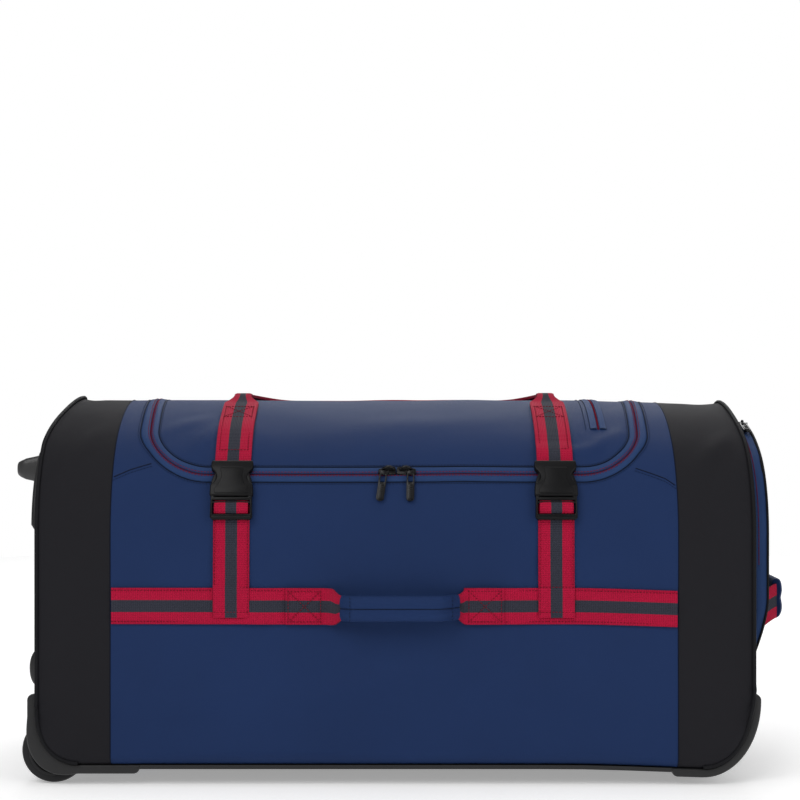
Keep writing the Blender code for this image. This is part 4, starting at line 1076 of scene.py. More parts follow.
def make_carry_handle(name, start_run, middle_run):
    sign = 1 if middle_run > start_run else -1
    turn = 0.055
    first_x = STRAPS[0][1]
    mirror = STRAPS[0][1] + STRAPS[1][1]
    foot = start_run - sign * 0.0031
    turn_run = start_run + (middle_run - start_run) * 0.35
    line = []
    for share in spaced(0, 1, 12):
        run = foot + (turn_run - foot) * share
        width = WEBBING + (FOLDED_WEBBING - WEBBING) * ease((share - 0.12) / 0.42)
        line.append((first_x, run, width))
    for angle in spaced(0.0, math.pi / 2, 12)[1:]:
        x = first_x + turn * (1 - math.cos(angle))
        line.append((x, turn_run + (middle_run - turn_run) * math.sin(angle), FOLDED_WEBBING))
    end = [(mirror - x, run, width) for x, run, width in reversed(line)]
    line += [(x, middle_run, FOLDED_WEBBING) for x in spaced(line[-1][0], end[0][0], 30)[1:-1]]
    line += end
    stations = []
    thicks = []
    for index, (x, run, width) in enumerate(line):
        before = line[max(index - 1, 0)]
        after = line[min(index + 1, len(line) - 1)]
        share = min(index, len(line) - 1 - index)
        rise = 0.0024 + 0.0040 * math.exp(-((share - 8) / 4.0) ** 2) * ease(share / 6)
        thicks.append(0.0016 + 0.0020 * ease((share - 2) / 6))
        base = skin(x, run, rise)
        ahead = (skin(after[0], after[1]) - skin(before[0], before[1])).normalized()
        out = out_at(x, run)
        across = out.cross(ahead).normalized()
        stations.append((base, across, out, width))
    ribbon(name + "_webbing", stations, webbing, thicks, replaces=(name,))


def make_bands():
    left = SEAM_LEFT + 0.001
    right = SEAM_RIGHT - 0.001
    for name, stations in (
        ("side_band_left", band_stations(left, BAND_LEFT_END, 60)),
        ("side_band_right", band_stations(BAND_RIGHT_END, right, 60)),
        ("side_band_far", band_stations(left, right, 120, 1, (-1, 0, 1))),
    ):
        ribbon(name + "_webbing", stations, webbing, replaces=(name,))
    for edge in (-0.0163, 0.0163):
        run = run_at_z(BAND_Z + edge)
        for start, end, side in (
            (SEAM_LEFT, -0.118, -1),
            (0.114, SEAM_RIGHT, -1),
            (SEAM_LEFT, SEAM_RIGHT, 1),
        ):
            sew(0.0026, [[(start + 0.002, side * run), (end - 0.002, side * run)]])


# Handles that stand off the bag
def grip_mesh(name, path, half_thick, half_height, material, node):
    """Padded wrap: path is (point, out) pairs; sewn shut along the middle of its face."""
    points = []
    coords = []
    count = 28
    travelled = 0.0
    for index, (point, out) in enumerate(path):
        if index:
            travelled += (point - path[index - 1][0]).length
        end = min(index, len(path) - 1 - index)
        swell = 1.0 - 0.10 * math.exp(-end / 1.2)
        row = []
        spots = []
        for side in range(count):
            angle = 2 * math.pi * side / count
            c = math.cos(angle)
            s = math.sin(angle)
            thick = math.copysign(abs(c) ** 0.75, c) * half_thick * swell
            height = math.copysign(abs(s) ** 0.65, s) * half_height
            groove = 0.0016 * math.exp(-(s / 0.10) ** 2) if c > 0 else 0.0
            ripple = 0.0005 * noise.noise(Vector((travelled * 60, side * 0.4, 1.0)))
            row.append(point + out * (thick - groove + ripple) + Vector((0, 0, height)))
            spots.append((side * 0.002, travelled))
        points.append(row)
        coords.append(spots)
    mesh = bmesh.new()
    made = add_grid(mesh, points, coords, around=True)
    close_ends(mesh, made)
    return publish(name, mesh, material, replaces=(node,), sharp=60)


def smooth_lift(distance, start, end, sewn, flat, bow, rise):
    edge = min(distance - start, end - distance) - sewn
    return flat + bow * ease(edge / (rise * bow)) if edge > 0 else flat


def path_stations(line, outward):
    """(point, out) along a list of points; out is level and on the outward side."""
    result = []
    for index, point in enumerate(line):
        before = line[max(index - 1, 0)]
        after = line[min(index + 1, len(line) - 1)]
        run = after - before
        direction = Vector((run.x, run.y, 0)).normalized()
        out = Vector((-direction.y, direction.x, 0))
        if out.dot(outward) < 0:
            out.negate()
        result.append((point, out))
    return result


def side_handle_path(xs, extra=0.0):
    """Middle of the side handle, bowed out between its sewn ends."""
    run = -run_at_z(BAND_Z)
    line = []
    for x in xs:
        lift = smooth_lift(x, *SIDE_HANDLE_ENDS, 0.040, 0.0027, 0.023, 1.4)
        line.append(skin(x, run, GAP, folds=False) + Vector((0, -lift - extra, 0)))
    return path_stations(line, Vector((0, -1, 0)))


def make_side_handle():
    left, right = SIDE_HANDLE_ENDS
    xs = spaced(left, right, 120)
    stations = []
    for x, (point, out) in zip(xs, side_handle_path(xs)):
        folded = ease(max(x + 0.067, 0.0) / 0.012) * ease(max(0.074 - x, 0.0) / 0.011)
        width = WEBBING + (0.0250 - WEBBING) * folded
        drop = 0.0012 * math.sin(math.pi * folded)
        stations.append((point - Vector((0, 0, drop)), Vector((0, 0, 1)), out, width))
    ribbon("side_handle_webbing", stations, webbing, 0.0026, replaces=("side_handle",))
    low = run_at_z(BAND_Z + 0.0160)
    high = run_at_z(BAND_Z - 0.0160)
    for start, end in ((left + 0.003, left + 0.037), (right - 0.037, right - 0.003)):
        sew(0.0062, box_with_cross(start, end, -low, -high))
    path = side_handle_path(spaced(-0.0550, 0.0630, 40), 0.0012)
    grip = grip_mesh("side_grip", path, 0.0062, 0.0135, blue, "side_handle_grip")
    for step in (3, 37):
        point, out = path[step]
        heights = spaced(-0.0115, 0.0115, 8)
        threads["blue"].append([point + out * 0.0064 + Vector((0, 0, z)) for z in heights])
    seam_shadow_lines.append(([point + out * 0.0052 for point, out in path], 0.0003))


def pocket_depth(z):
    return 0.0045 + 0.0135 * ease((z - POCKET_LOW) / 0.075)


def pocket_front(y, z):
    middle_z = (POCKET_LOW + HEIGHT - POCKET_INSET) / 2
    across = math.cos(min(abs(y) / (HALF_DEPTH - POCKET_INSET), 1.0) * math.pi / 2)
    upright = abs(z - middle_z) / (middle_z - POCKET_LOW)
    belly = 0.003 * across * math.cos(min(upright, 1.0) * math.pi / 2)
    return POCKET_END + GAP + pocket_depth(z) + belly + GAP


def inset_outline(inset, low_z, low_radius, drop=0.0, fine=1):
    """(y, z) up the far half of an outline that runs inside the section."""
    half = HALF_DEPTH - inset
    points = []
    for angle in spaced(0.0, math.pi / 2, 6 * fine):
        y = half - low_radius + low_radius * math.sin(angle)
        points.append((y, low_z + low_radius * (1 - math.cos(angle))))
    points += [(half, z) for z in spaced(low_z + low_radius, UPRIGHT_Z - drop, 8 * fine)[1:]]
    shoulder = SHOULDER_RADIUS - inset
    for angle in spaced(math.pi / 2, CREST_ANGLE, 8 * fine)[1:]:
        y = half - shoulder * (1 - math.sin(angle))
        points.append((y, UPRIGHT_Z - drop + shoulder * math.cos(angle)))
    crest = CREST_RADIUS - inset
    for angle in spaced(CREST_ANGLE, 0.0, 6 * fine)[1:]:
        z = HEIGHT - drop - CREST_RADIUS + crest * math.cos(angle)
        points.append((crest * math.sin(angle), z))
    return points


def whole_loop(half):
    return half + [(-y, z) for y, z in reversed(half[:-1])]


def make_end_pocket():
    loop = whole_loop(inset_outline(POCKET_INSET, POCKET_LOW, 0.045, DROOP, 2))
    middle = Vector((0.0, 0.26))

    def pushed(y, z, reach):
        """A point of the outline, moved outwards."""
        spot = Vector((y, z))
        return spot - (middle - spot).normalized() * reach

    points = []
    coords = []
    travelled = 0.0
    shares = [-0.6] + spaced(0, 1, 14)
    for index, (y, z) in enumerate(loop):
        if index:
            travelled += math.dist(loop[index - 1], (y, z))
        depth = pocket_depth(z)
        row = []
        for share in shares:
            pinch = 0.0014 * math.sin(math.pi * share)
            pinch += 0.0005 * noise.noise(Vector((travelled * 40, share, 2)))
            row.append(Vector((POCKET_END + GAP + depth * share, *pushed(y, z, pinch))))
        points.append(row)
        coords.append([(depth * share, travelled) for share in shares])
    mesh = bmesh.new()
    add_grid(mesh, points, coords)
    publish("pocket_gusset_cloth", mesh, blue_band, replaces=("end_pocket_gusset",), sharp=60)
    points = []
    coords = []
    for share in (1.0, 1.0, 0.985, 0.96, 0.92, 0.86, 0.78, 0.68, 0.56, 0.44, 0.3, 0.16, 0.05):
        row = []
        for y, z in loop:
            spot = middle + (Vector((y, z)) - middle) * share
            edge = 0.0016 * (1 - min((1 - share) / 0.06, 1.0)) ** 2
            slack = 0.0012 * noise.noise(Vector((spot.x * 14, spot.y * 11, 5.0)))
            slack *= min((1 - share) / 0.2, 1)
            front = pocket_front(spot.x, spot.y) + 0.0020 - edge + slack
            row.append(Vector((front, spot.x, spot.y)))
        points.append(row)
        coords.append([(point.y, point.z) for point in row])
    points[0] = [point - Vector((0.0020, 0, 0)) for point in points[0]]
    mesh = bmesh.new()
    made = add_grid(mesh, points, coords, around=True)
    close_cloth(mesh, made[-1])
    publish("pocket_face_cloth", mesh, black_pocket, replaces=("end_pocket_face",), sharp=60)
    cord = [Vector((pocket_front(y, z) + 0.0006, *pushed(y, z, 0.0008))) for y, z in loop]
    tube("pocket_face_cord", cord, 0.0013, piping, sides=8, closed=True)
    start = POCKET_END + GAP + 0.0055
    profile = (
        (0.0, 0.0004),
        (0.0004, 0.0024),
        (0.0030, 0.0026),
        (0.0034, 0.0016),
        (0.0038, 0.0026),
        (0.0066, 0.0024),
        (0.0070, 0.0004),
    )
    points = []
    coords = []
    coil = []
    for index, (y, z) in enumerate(loop):
        if z > 0.230:
            row = [Vector((start + x, *pushed(y, z, lift))) for x, lift in profile]
            points.append(row)
            coords.append([(point.x, index * 0.004) for point in row])
            coil.append(Vector((start + 0.0034, *pushed(y, z, 0.0020))))
    mesh = bmesh.new()
    add_grid(mesh, points, coords)
    publish("pocket_zip_flaps", mesh, blue_band, replaces=("end_pocket_zip",), sharp=60)
    stitches("pocket_zip_coil", [coil], thread_red, 0.0016, 0.0011, 0.0010)


def end_handle_path(ys, extra=0.0, rise=0.0):
    """Middle of the end handle; it hangs up a little and bows out between its sewn ends."""
    half = END_HANDLE_HALF
    line = []
    for y in ys:
        lift = smooth_lift(y, -half, half, 0.035, 0.0027, 0.030, 1.4)
        z = END_HANDLE_LOW + END_HANDLE_RISE * ease((half - abs(y) - 0.020) / 0.050)
        line.append(Vector((pocket_front(y, z) + lift + extra, y, z + rise)))
    return path_stations(line, Vector((1, 0, 0)))


def make_end_handle():
    path = end_handle_path(spaced(-END_HANDLE_HALF, END_HANDLE_HALF, 90))
    stations = [(point, Vector((0, 0, 1)), out, WEBBING) for point, out in path]
    ribbon("end_handle_webbing", stations, webbing, 0.0022, replaces=("end_handle",))
    path = end_handle_path(spaced(-0.050, 0.050, 36), 0.0011, 0.003)
    grip = grip_mesh("end_grip", path, 0.0062, 0.0215, blue, "end_handle_grip")


# Buckles
def curved_frame(x, top_run, lift):
    """Maps (across, down, out) to the bag so that the piece follows its curve."""

    def place(across, along, height):
        return skin(x + across, -(top_run + along), lift + height, folds=False)

    return place


def buckle_outlines():
    """Outlines of the socket, its raised panel, the plug and the plug's window."""
    half = BUCKLE_HALF
    length = SOCKET_LENGTH
    low = length + FRAME_LENGTH
    socket = both_sides([
        (half - 0.0006, 0.0),
        (half, 0.0030),
        (half, 0.0085),
        (half - 0.0038, 0.0122, 0.003),
        (half - 0.0066, 0.0180, 0.003),
        (half - 0.0040, 0.0232, 0.003),
        (half + 0.0002, 0.0262),
        (half + 0.0006, length),
    ])
    panel = both_sides([
        (half - 0.0095, 0.0080),
        (half - 0.0118, 0.0180),
        (half - 0.0080, 0.0270),
        (half - 0.0045, 0.0300),
        (half - 0.0040, length - 0.0022),
    ])
    plug = both_sides([
        (half - 0.0052, 0.0118),
        (half - 0.0030, 0.0165, 0.003),
        (half - 0.0008, 0.0225, 0.003),
        (half - 0.0004, 0.0300),
        (half - 0.0006, length + 0.002),
        (half - 0.0002, low - 0.0020),
        (half - 0.0020, low),
    ])
    notch = both_sides([(half - 0.0074, 0.0160), (half - 0.0040, length + 0.0006)])
    window = both_sides([(half - 0.0026, length + 0.0040), (half - 0.0026, low - 0.0056)])
    shapes = ((socket, 0.0022), (panel, 0.0025), (plug + notch[::-1], 0.0016), (window, 0.0012))
    return [subdivided(rounded_outline(outline, radius)) for outline, radius in shapes]


def make_buckles():
    half = BUCKLE_HALF
    low = SOCKET_LENGTH + FRAME_LENGTH
    socket, panel, plug, window = buckle_outlines()
    for side, x in STRAPS:
        place = curved_frame(x, BUCKLE_TOP_RUN, 0.0010)
        name = f"buckle_{side}_socket"
        for part, outline, bottom, top, stands_for, bevel in (
            ("body", socket, 0.0, 0.0088, (name,), 0.0014),
            ("panel", panel, 0.0080, 0.0095, (), 0.0005),
        ):
            outline_solid(f"{name}_{part}", [outline], bottom, top, place, buckle_paint,
                          replaces=stands_for, bevel=bevel)
        name = f"buckle_{side}_plug"
        outline_solid(name + "_body", [plug, window], 0.0, 0.0076, place, buckle_paint,
                      replaces=(name,), bevel=0.0010)
        bars = ((SOCKET_LENGTH + 0.0062, 0.0012), (low - 0.0026, 0.0019))
        for index, (along, radius) in enumerate(bars):
            points = [place(across, along, 0.0062) for across in spaced(-half + 0.002, half - 0.002, 10)]
            tube(f"{name}_bar_{index}", points, radius, buckle_paint, sides=10)
        for index in range(5):
            along = low - 0.0044 + index * 0.00045
            rise = 0.0078 - index * 0.0006
            points = [place(across, along, rise) for across in spaced(-half + 0.004, half - 0.004, 6)]
            tube(f"{name}_rib_{index}", points, 0.00028, buckle_paint, sides=6)


def subdivided(outline, step=0.003):
    """Outline with extra points on its long edges, so that it can follow a curve."""
    result = []
    for index, (x, y) in enumerate(outline):
        after = outline[(index + 1) % len(outline)]
        length = math.dist((x, y), after)
        count = max(1, math.ceil(length / step))
        for share in range(count):
            result.append((x + (after[0] - x) * share / count, y + (after[1] - y) * share / count))
    return result


# Zip sliders and pulls
def box_outline(half, low, high, radius, steps):
    corners = ((-half, low), (half, low), (half, high), (-half, high))
    return rounded_outline(corners, radius, steps)


def make_zip_tab(name, body, pivot, down, out, lean_in, splay=0.0):
    """Tab of a pull with a rubbed grip on both faces."""
    tongue = (down - out * math.tan(lean_in) + Vector((math.tan(splay), 0, 0))).normalized()
    across = (Vector((1, 0, 0)) - tongue * tongue.x).normalized()
    face = across.cross(tongue)
    if face.dot(out) < 0:
        face.negate()

    def place(x, y, z):
        return pivot + across * x + tongue * y + face * z

    half = 0.0042
    right = [(half - 0.0008, -0.0014), (half, 0.0070, 0.002), (half, 0.0320, 0.0045)]
    shape = rounded_outline(both_sides(right), 0.0015, 8)
    window = box_outline(0.0024, 0.0032, 0.0115, 0.0012, 6)
    grip = box_outline(0.0030, 0.0135, 0.0305, 0.0028, 6)
    for part, outlines, low, high, stands_for, bevel in (
        ("tab", [shape, window], -0.0012, 0.0012, (name,), 0.0005),
        ("grip", [grip], 0.0006, 0.0022, (), 0.0006),
        ("grip_back", [grip], -0.0020, -0.0006, (), 0.0005),
    ):
        outline_solid(f"{name}_{part}", outlines, low, high, place, gloss, body, stands_for, bevel)
    for index in range(6):
        along = 0.0165 + index * 0.0023
        points = [place(x, along, 0.0021) for x in spaced(-0.0020, 0.0020, 4)]
        tube(f"{name}_rib_{index}", points, 0.00042, gloss, body, sides=6)


def make_slider(name, pivot, down, out, lid_side=0):
    """Slider with its bridge and two ears; lid_side points to the lid's middle."""

    def base(x, y, z):
        return pivot + Vector((x, 0, 0)) + down * y + out * z

    if lid_side:
        reach = abs(pivot.x) - 0.0004
        wide = [
            (-0.0056, -0.0050),
            (0.0050, -0.0082),
            (reach, -0.0066),
            (reach, 0.0010),
            (0.0050, 0.0022),
            (-0.0056, 0.0018),
        ]
        wide = [(lid_side * x, y) for x, y in wide]
    else:
        wide = both_sides([(0.0030, -0.0090), (0.0056, -0.0040), (0.0056, 0.0018)])
    outline_solid(name + "_body", [rounded_outline(wide, 0.0016, 6)], -0.0046, -0.0022, base, gloss,
                  replaces=(name,), bevel=0.0007)
    arch = []
    for angle in spaced(0, math.pi, 12):
        c = math.cos(angle)
        s = math.sin(angle)
        rise = -0.0022 + 0.0046 * s
        if lid_side:
            arch.append(base(lid_side * (0.0052 - 0.0060 * c), -0.0034 - 0.0016 * s, rise))
        else:
            arch.append(base(0, -0.0032 - 0.0042 * c, rise))
    tube(name + "_bridge", arch, 0.0013, gloss, sides=8)
    ear = box_outline(0.0014, -0.0032, 0.0012, 0.0011, 4)
    for end, side in (("left", -1), ("right", 1)):

        def upright(along, rise, across, side=side):
            return base(side * 0.0047 + across, along, rise)

        outline_solid(f"{name}_ear_{end}", [ear], -0.0005, 0.0005, upright, gloss, bevel=0.0002)


def make_zip_pulls():
    for side, x, splay in (("left", -0.0132, -0.14), ("right", 0.0153, -0.02)):
        above = skin(x, -LID_RUN + 0.004, folds=False)
        down = (skin(x, -LID_RUN - 0.004, folds=False) - above).normalized()
        out = Vector((0, down.z, -down.y))
        pivot = skin(x, -LID_RUN, PULL_LIFT, folds=False)
        name = f"lid_zip_{side}"
        make_zip_tab(name + "_pull", f"pull_{side}", pivot, down, out, math.radians(12), splay)
        make_slider(name + "_slider", pivot, down, out, math.copysign(1, -x))
    crest = CREST_RADIUS - POCKET_INSET + GAP + 0.0012
    angle = 0.056 / CREST_RADIUS
    out = Vector((0, -math.sin(angle), math.cos(angle)))
    down = Vector((0, -math.cos(angle), -math.sin(angle)))
    middle = Vector((POCKET_END + GAP + 0.0125, 0, HEIGHT - DROOP - CREST_RADIUS))
    pivot = middle + out * (crest + 0.0048)
    make_zip_tab("end_pocket_pull", "pull_pocket", pivot, down, out, math.radians(2))
    make_slider("end_pocket_slider", pivot, down, out)


# Moulded pieces
def guard_line(end, toe, reach, top_z, steps=22):
    out = -1 if end < 0 else 1
    turn = end - out * toe[0]
    tip = end - out * reach
    line = []
    for x in [tip + out * step for step in (0.0, 0.0005, 0.0015, 0.003)] + spaced(tip + out * 0.0055, turn, 14)[:-1]:
        line.append((Vector((x, 0, BODY_FLOOR - droop_at(x))), Vector((0, 0, -1))))
    for angle in spaced(0.0, math.pi / 2, steps):
        x = turn + out * toe[0] * math.sin(angle)
        z = BODY_FLOOR + toe[1] * (1 - math.cos(angle)) - droop_at(x)
        normal = Vector((out * math.sin(angle) / toe[0], 0, -math.cos(angle) / toe[1]))
        line.append((Vector((x, 0, z)), normal.normalized()))
    last = line[-1][0].z
    for z in spaced(last, top_z - 0.006, 4)[1:] + [top_z - 0.0035, top_z - 0.0018, top_z - 0.0006, top_z]:
        line.append((Vector((end, 0, z)), Vector((out, 0, 0))))
    return line


def rim_sweep(mesh, line, low_y, high_y, thick, round_by, swell=0.0):
    """Moulded rim along a line: a rounded bar from low_y to high_y."""
    points = []
    coords = []
    for index, (point, normal) in enumerate(line):
        end = min((point - line[0][0]).length, (point - line[-1][0]).length) / 0.006
        taper = math.sqrt(max(1 - (1 - min(end, 1)) ** 2, 0.04))
        height = GAP + (thick - GAP) * (0.35 + 0.65 * taper)
        height *= 1 + swell * (2 * abs(normal.x * normal.z)) ** 1.4
        row = []
        half = (high_y - low_y) / 2
        edge = min(round_by, half, height / 2)
        for cy, cn, start in ((half - edge, height - edge, 0), (-half + edge, height - edge, 90),
                              (-half + edge, GAP + edge * 0.5, 180), (half - edge, GAP + edge * 0.5, 270)):
            for step in range(5):
                angle = math.radians(start + step * 22.5)
                push = edge if cn > height / 2 else edge * 0.5
                y = cy + edge * math.cos(angle)
                rise = cn + push * math.sin(angle)
                row.append(point + normal * rise + Vector((0, (low_y + high_y) / 2 + y, 0)))
        points.append(row)
        coords.append([(0.0, 0.0)] * len(row))
    made = add_grid(mesh, points, coords, around=True)
    mesh.faces.new(made[0])
    mesh.faces.new(made[-1])


def add_box(mesh, low, high):
    made = bmesh.ops.create_cube(mesh, size=1.0)
    for vert in made["verts"]:
        for axis in range(3):
            vert.co[axis] = low[axis] if vert.co[axis] < 0 else high[axis]


def make_corners():
    wall = 0.0025
    deep = WELL_BACK + wall
    line = guard_line(WHEEL_END, LEFT_TOE, 0.1085, 0.096)
    back = [spot for spot in line if spot[0].x > WELL_BACK + 0.001]
    right_line = guard_line(POCKET_END, RIGHT_TOE, 0.0845, 0.0955)
    for name, side in (("near", -1), ("far", 1)):
        mesh = bmesh.new()
        for path, low, high, thick, round_by, swell in (
            (line, 0.1757, GUARD_SIDES[1], GUARD_THICK, 0.0026, 0.85),
            (line, GUARD_SIDES[0], 0.1443, GUARD_THICK, 0.0030, 0.0),
            (back, *WELL_SIDES, GUARD_THICK * 0.97, 0.0010, 0.0),
        ):
            rim_sweep(mesh, path, *sorted((side * low, side * high)), thick, round_by, swell)
        near, far = sorted(side * y for y in WELL_SIDES)
        add_box(mesh, (WELL_BACK, near, 0.016), (deep, far, WELL_TOP + wall))
        add_box(mesh, (WHEEL_END + 0.004, near, WELL_TOP), (deep, far, WELL_TOP + wall))
        for sides in ((0.1433, 0.1445), (0.1757, 0.1769)):
            near, far = sorted(side * y for y in sides)
            add_box(mesh, (WHEEL_END + 0.010, near, 0.030), (WELL_BACK + 0.001, far, WELL_TOP + 0.001))
        publish(f"wheel_corner_{name}", mesh, moulded, replaces=(f"wheel_housing_{name}",),
                merge=0, sharp=40)
        mesh = bmesh.new()
        rim_sweep(mesh, right_line, *sorted(side * y for y in GUARD_SIDES), GUARD_THICK, 0.0034)
        publish(f"corner_{name}", mesh, moulded, replaces=(f"corner_guard_{name}",), merge=0, sharp=40)


def turned(name, profile, centre, material, body, replaces, segments=72):
    """Ring turned about the Y axis from a closed profile of (radius, distance along Y)."""
    mesh = bmesh.new()
    points = []
    coords = []
    for step in range(segments):
        angle = 2 * math.pi * (step + 0.5) / segments
        spoke = Vector((math.cos(angle), 0, math.sin(angle)))
        points.append([centre + spoke * radius + Vector((0, along, 0)) for radius, along in profile])
        coords.append([(radius, angle * 0.03) for radius, _ in profile])
    points.append(points[0])
    coords.append(coords[0])
    add_grid(mesh, points, coords, around=True)
    return publish(name, mesh, material, body, replaces, sharp=32)


def make_wheels():
    radius = WHEEL_RADIUS
    half = WHEEL_HALF
    shares = spaced(-1, 1, 10)
    tyre = [(radius - 0.0022 * abs(share) ** 2.6, half * 0.94 * share) for share in shares]
    tyre += [
        (radius - 0.0040, half),
        (radius - 0.0080, half * 0.97),
        (radius - 0.0080, -half * 0.97),
        (radius - 0.0040, -half),
    ]
    rim = radius - 0.0080 - GAP
    hub = [
        (rim, half),
        (rim - 0.0016, half + 0.0002),
        (rim - 0.0030, half - 0.0004),
        (rim - 0.0042, half - 0.0028),
        (0.0128, half - 0.0034),
        (0.0100, half - 0.0026),
        (0.0092, half - 0.0004),
        (0.0070, half),
        (0.0042, half),
    ]
    hub += [(size, -along) for size, along in reversed(hub)]
    for name, side in (("near", -1), ("far", 1)):
        centre = Vector((AXLE_X, side * WHEEL_MIDDLE, radius))
        face = centre + Vector((0, side * (half - 0.0034), 0))
        body = f"wheel_{name}"
        turned(f"{body}_tread", tyre, centre, tyre_paint, body, (f"{body}_tyre",))
        turned(f"{body}_centre", hub, centre, hub_paint, body, (f"{body}_hub",))
        for index in range(6):
            angle = 2 * math.pi * index / 6
            spoke = Vector((math.cos(angle), 0, math.sin(angle)))
            points = [face + spoke * reach for reach in (0.0110, 0.0215)]
            tube(f"{body}_rib_{index}", points, 0.0013, hub_paint, body, sides=8)


def plate_lean(z):
    return 0.014 * ease((z - 0.343) / 0.055)


def plate_x(z):
    return WHEEL_END - GAP - 0.0052 - 0.0038 * ease((z - 0.2695) / 0.0025) + plate_lean(z)


def make_end_plate():
    loop = whole_loop(inset_outline(0.025, 0.143, 0.015, 0.0, 2))
    middle = Vector((0.0, 0.27))
    rows = [[Vector((WHEEL_END - GAP + plate_lean(z), y, z)) for y, z in loop]]
    coords = [list(loop)]
    shares = (1.0, 0.994, 0.984, 0.94, 0.80, 0.6, 0.4, 0.2)
    rounding = {1.0: 0.0030, 0.994: 0.0010}
    for share in shares:
        spots = [middle + (Vector(spot) - middle) * share for spot in loop]
        inset = rounding.get(share, 0.0)
        rows.append([Vector((plate_x(spot.y) + inset, spot.x, spot.y)) for spot in spots])
        coords.append([(spot.x, spot.y) for spot in spots])
    mesh = bmesh.new()
    close_ends(mesh, add_grid(mesh, rows, coords, around=True))
    publish("end_plate_shell", mesh, moulded, replaces=("end_plate",), sharp=40)
    for index, y in enumerate((-0.105, -0.035, 0.035, 0.105)):
        points = [Vector((plate_x(z) - 0.0002, y, z)) for z in spaced(0.160, 0.262, 10)]
        tube(f"plate_rib_{index}", points, 0.0016, moulded, sides=8)


def make_grab_handle():
    face = WHEEL_END - GAP - 0.0090 - GAP
    line = []
    heights = []
    for step in spaced(0.0, 1.0, 12):
        line.append(Vector((face + 0.0010 - 0.0210 * step, -0.0865 + 0.0020 * step, GRAB_Z)))
        heights.append(0.0320 - 0.0090 * step)
    for angle in spaced(0.0, math.pi / 2, 8)[1:]:
        x = face - 0.0200 - 0.0063 * math.sin(angle)
        line.append(Vector((x, -0.0845 + 0.0080 * (1 - math.cos(angle)), GRAB_Z)))
        heights.append(0.0230 - 0.0070 * math.sin(angle))
    line += [Vector((line[-1].x, y, GRAB_Z)) for y in spaced(line[-1].y, 0.0, 14)[1:]]
    heights += [0.0160 + 0.0030 * ease(step) for step in spaced(0.0, 1.0, 14)[1:]]
    line += [Vector((point.x, -point.y, point.z)) for point in reversed(line[:-1])]
    heights += list(reversed(heights[:-1]))
    points = []
    for (point, out), height in zip(path_stations(line, Vector((-1, 0, 0))), heights):
        row = []
        for side in range(20):
            angle = 2 * math.pi * side / 20
            c = math.cos(angle)
            s = math.sin(angle)
            thick = math.copysign(abs(c) ** 0.7, c) * 0.0046
            tall = math.copysign(abs(s) ** 0.7, s) * height / 2
            row.append(point + out * thick + Vector((0, 0, tall)))
        points.append(row)
    mesh = bmesh.new()
    close_ends(mesh, add_grid(mesh, points, [[(0.0, 0.0)] * 20] * len(points), around=True))
    publish("grab_handle_bar", mesh, handle_paint, replaces=("grab_handle",), sharp=40)


def make_end_bumper():
    middle = (BUMPER_TOP + BUMPER_LOW) / 2
    half = (BUMPER_TOP - BUMPER_LOW) / 2
    points = []
    for y in spaced(-BUMPER_HALF, BUMPER_HALF, 166):
        blunt = math.sqrt(max(1 - (max(abs(y) - BUMPER_HALF + 0.006, 0) / 0.006) ** 2, 0.06))
        row = []
        for angle in spaced(-math.pi / 2, math.pi / 2, 14):
            z = middle + half * math.sin(angle) * (0.6 + 0.4 * blunt)
            bulge = BUMPER_REACH * abs(math.cos(angle)) ** 0.8 * blunt
            row.append(Vector((WHEEL_END - GAP - bulge, y, z)))
        points.append(row)
    mesh = bmesh.new()
    add_grid(mesh, points, [[(point.y, point.z) for point in row] for row in points])
    publish("end_bumper_bar", mesh, moulded, replaces=("end_bumper",), sharp=40)


def finish_cad_pieces():
    """Pieces whose solids stay get their finish."""
    for name, thing in nodes.items():
        if name.startswith(("base_tray", "skid_rail")) or name.endswith("axle"):
            paint = steel if name.endswith("axle") else moulded
            thing.data.materials.clear()
            thing.data.materials.append(paint)


# Seams, drawn as thin dark cords of painted shadow, and stray rows of stitches
def make_seams():
    for name, places in (
        ("left", [(-0.2985, -0.2014), (-0.2810, -0.1928), (-0.2600, -0.1856)]),
        ("right", [(0.2540, -0.1890), (0.2720, -0.1955), (0.2846, -0.2005), (0.2945, -0.2080)]),
    ):
        seam_shadow_lines.append((laid_line(places, 0.0001), 0.0005))
        threads["blue"].append(laid_line([(x, run - 0.0035) for x, run in places], 0.0002))
    # Each seam is a thin dark cord, painted as the shadow along the seam.
    for index, (line, radius) in enumerate(seam_shadow_lines):
        tube(f"seam_{index:02d}", line, radius, seam_shadow_paint, sides=6)
    paints = {"blue": thread_blue, "red": thread_red}
    for name, lines in threads.items():
        if lines:
            stitches(f"{name}_stitches", lines, paints[name], radius=0.00045)


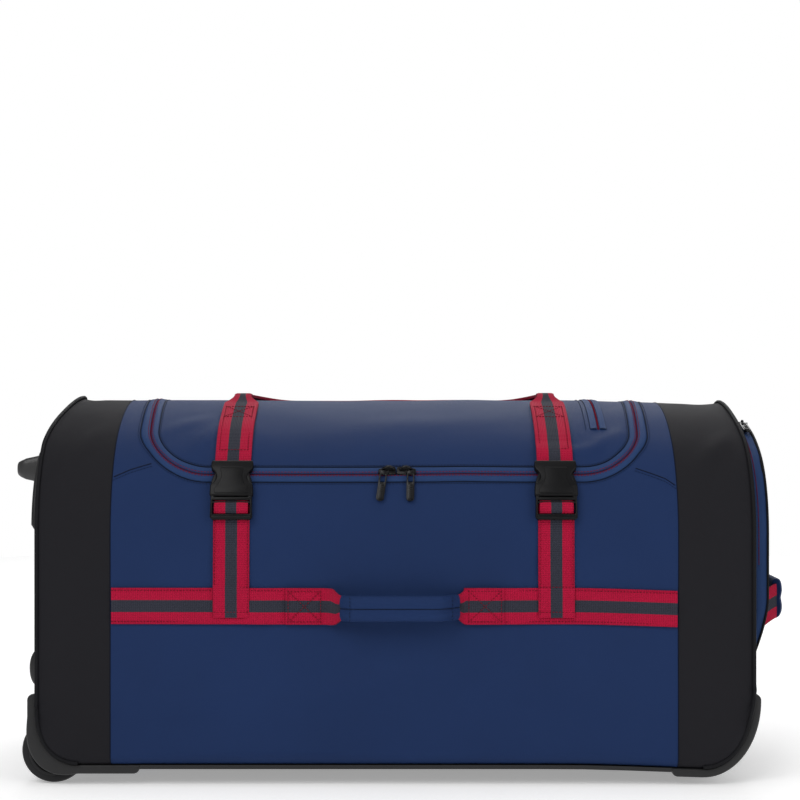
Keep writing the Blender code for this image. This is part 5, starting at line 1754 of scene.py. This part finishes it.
# Room, light and camera
def make_studio():
    bpy.ops.mesh.primitive_circle_add(vertices=96, radius=3.0, fill_type="NGON", location=(0, 0, -0.0004))
    floor = bpy.context.object
    floor.name = "studio_floor"
    paint = Paint("studio_floor", 0.9)
    tone = paint.grain(1.5, 2.0)
    paint.colour(paint.mix((0.88, 0.88, 0.885), (0.91, 0.91, 0.91), tone))
    paint.shader.inputs["Emission Color"].default_value = (1, 1, 1, 1)
    paint.shader.inputs["Emission Strength"].default_value = 0.32
    floor.data.materials.append(paint.material)
    world = bpy.data.worlds.new("studio")
    world.use_nodes = True
    sky = world.node_tree.nodes["Background"]
    sky.inputs["Color"].default_value = (1.0, 1.0, 1.0, 1)
    seen = world.node_tree.nodes.new("ShaderNodeLightPath")
    glow = world.node_tree.nodes.new("ShaderNodeMapRange")
    glow.inputs["To Min"].default_value = 0.25
    glow.inputs["To Max"].default_value = 1.0
    world.node_tree.links.new(seen.outputs["Is Camera Ray"], glow.inputs["Value"])
    world.node_tree.links.new(glow.outputs["Result"], sky.inputs["Strength"])
    bpy.context.scene.view_settings.view_transform = "Standard"
    bpy.context.scene.world = world
    for name, place, aim, size, power, gleam in (
        ("key", (-1.3, -2.6, 2.4), (0, 0, 0.25), 2.2, 58, 1.0),
        ("fill", (2.1, -2.2, 1.5), (0, 0, 0.25), 2.0, 26, 1.0),
        ("top", (0.1, 0.5, 2.8), (0, 0, 0.3), 2.6, 30, 0.3),
        ("back", (0.3, 3.2, 2.6), (0, 0, 0.25), 2.4, 45, 0.2),
    ):
        light = bpy.data.lights.new(name, "AREA")
        light.shape = "SQUARE"
        light.size = size
        light.energy = power
        light.specular_factor = gleam
        holder = bpy.data.objects.new(name, light)
        holder.location = place
        holder.rotation_euler = (Vector(aim) - Vector(place)).to_track_quat("-Z", "Y").to_euler()
        bpy.context.scene.collection.objects.link(holder)
    lens = bpy.data.cameras.new("camera")
    lens.lens = 87.9
    lens.sensor_width = 36.0
    camera = bpy.data.objects.new("camera", lens)
    camera.location = (0.004, -2.24, 0.406)
    camera.rotation_euler = (math.pi / 2, 0, 0)
    bpy.context.scene.collection.objects.link(camera)
    bpy.context.scene.camera = camera


def main():
    make_centre_cloth()
    make_lid_cloth()
    make_lid_zip()
    make_lid_pocket()
    make_end_cloth("wheel_end_cloth", "wheel_end_cover", SEAM_LEFT, WHEEL_END, LEFT_TOE[0])
    make_end_cloth("pocket_end_cloth", "pocket_end_cover", SEAM_RIGHT, POCKET_END, RIGHT_TOE[0])
    make_piping("piping_wheel_end", WHEEL_END)
    make_piping("piping_pocket_end", POCKET_END)
    make_near_straps()
    make_far_straps()
    make_carry_handle("carry_handle_near", -STRAP_TOP_RUN, 0.062)
    make_carry_handle("carry_handle_far", FAR_STRAP_TOP_RUN, 0.100)
    make_bands()
    make_side_handle()
    make_end_pocket()
    make_end_handle()
    make_buckles()
    make_zip_pulls()
    make_corners()
    make_wheels()
    make_end_plate()
    make_grab_handle()
    make_end_bumper()
    finish_cad_pieces()
    make_seams()
    make_studio()


main()
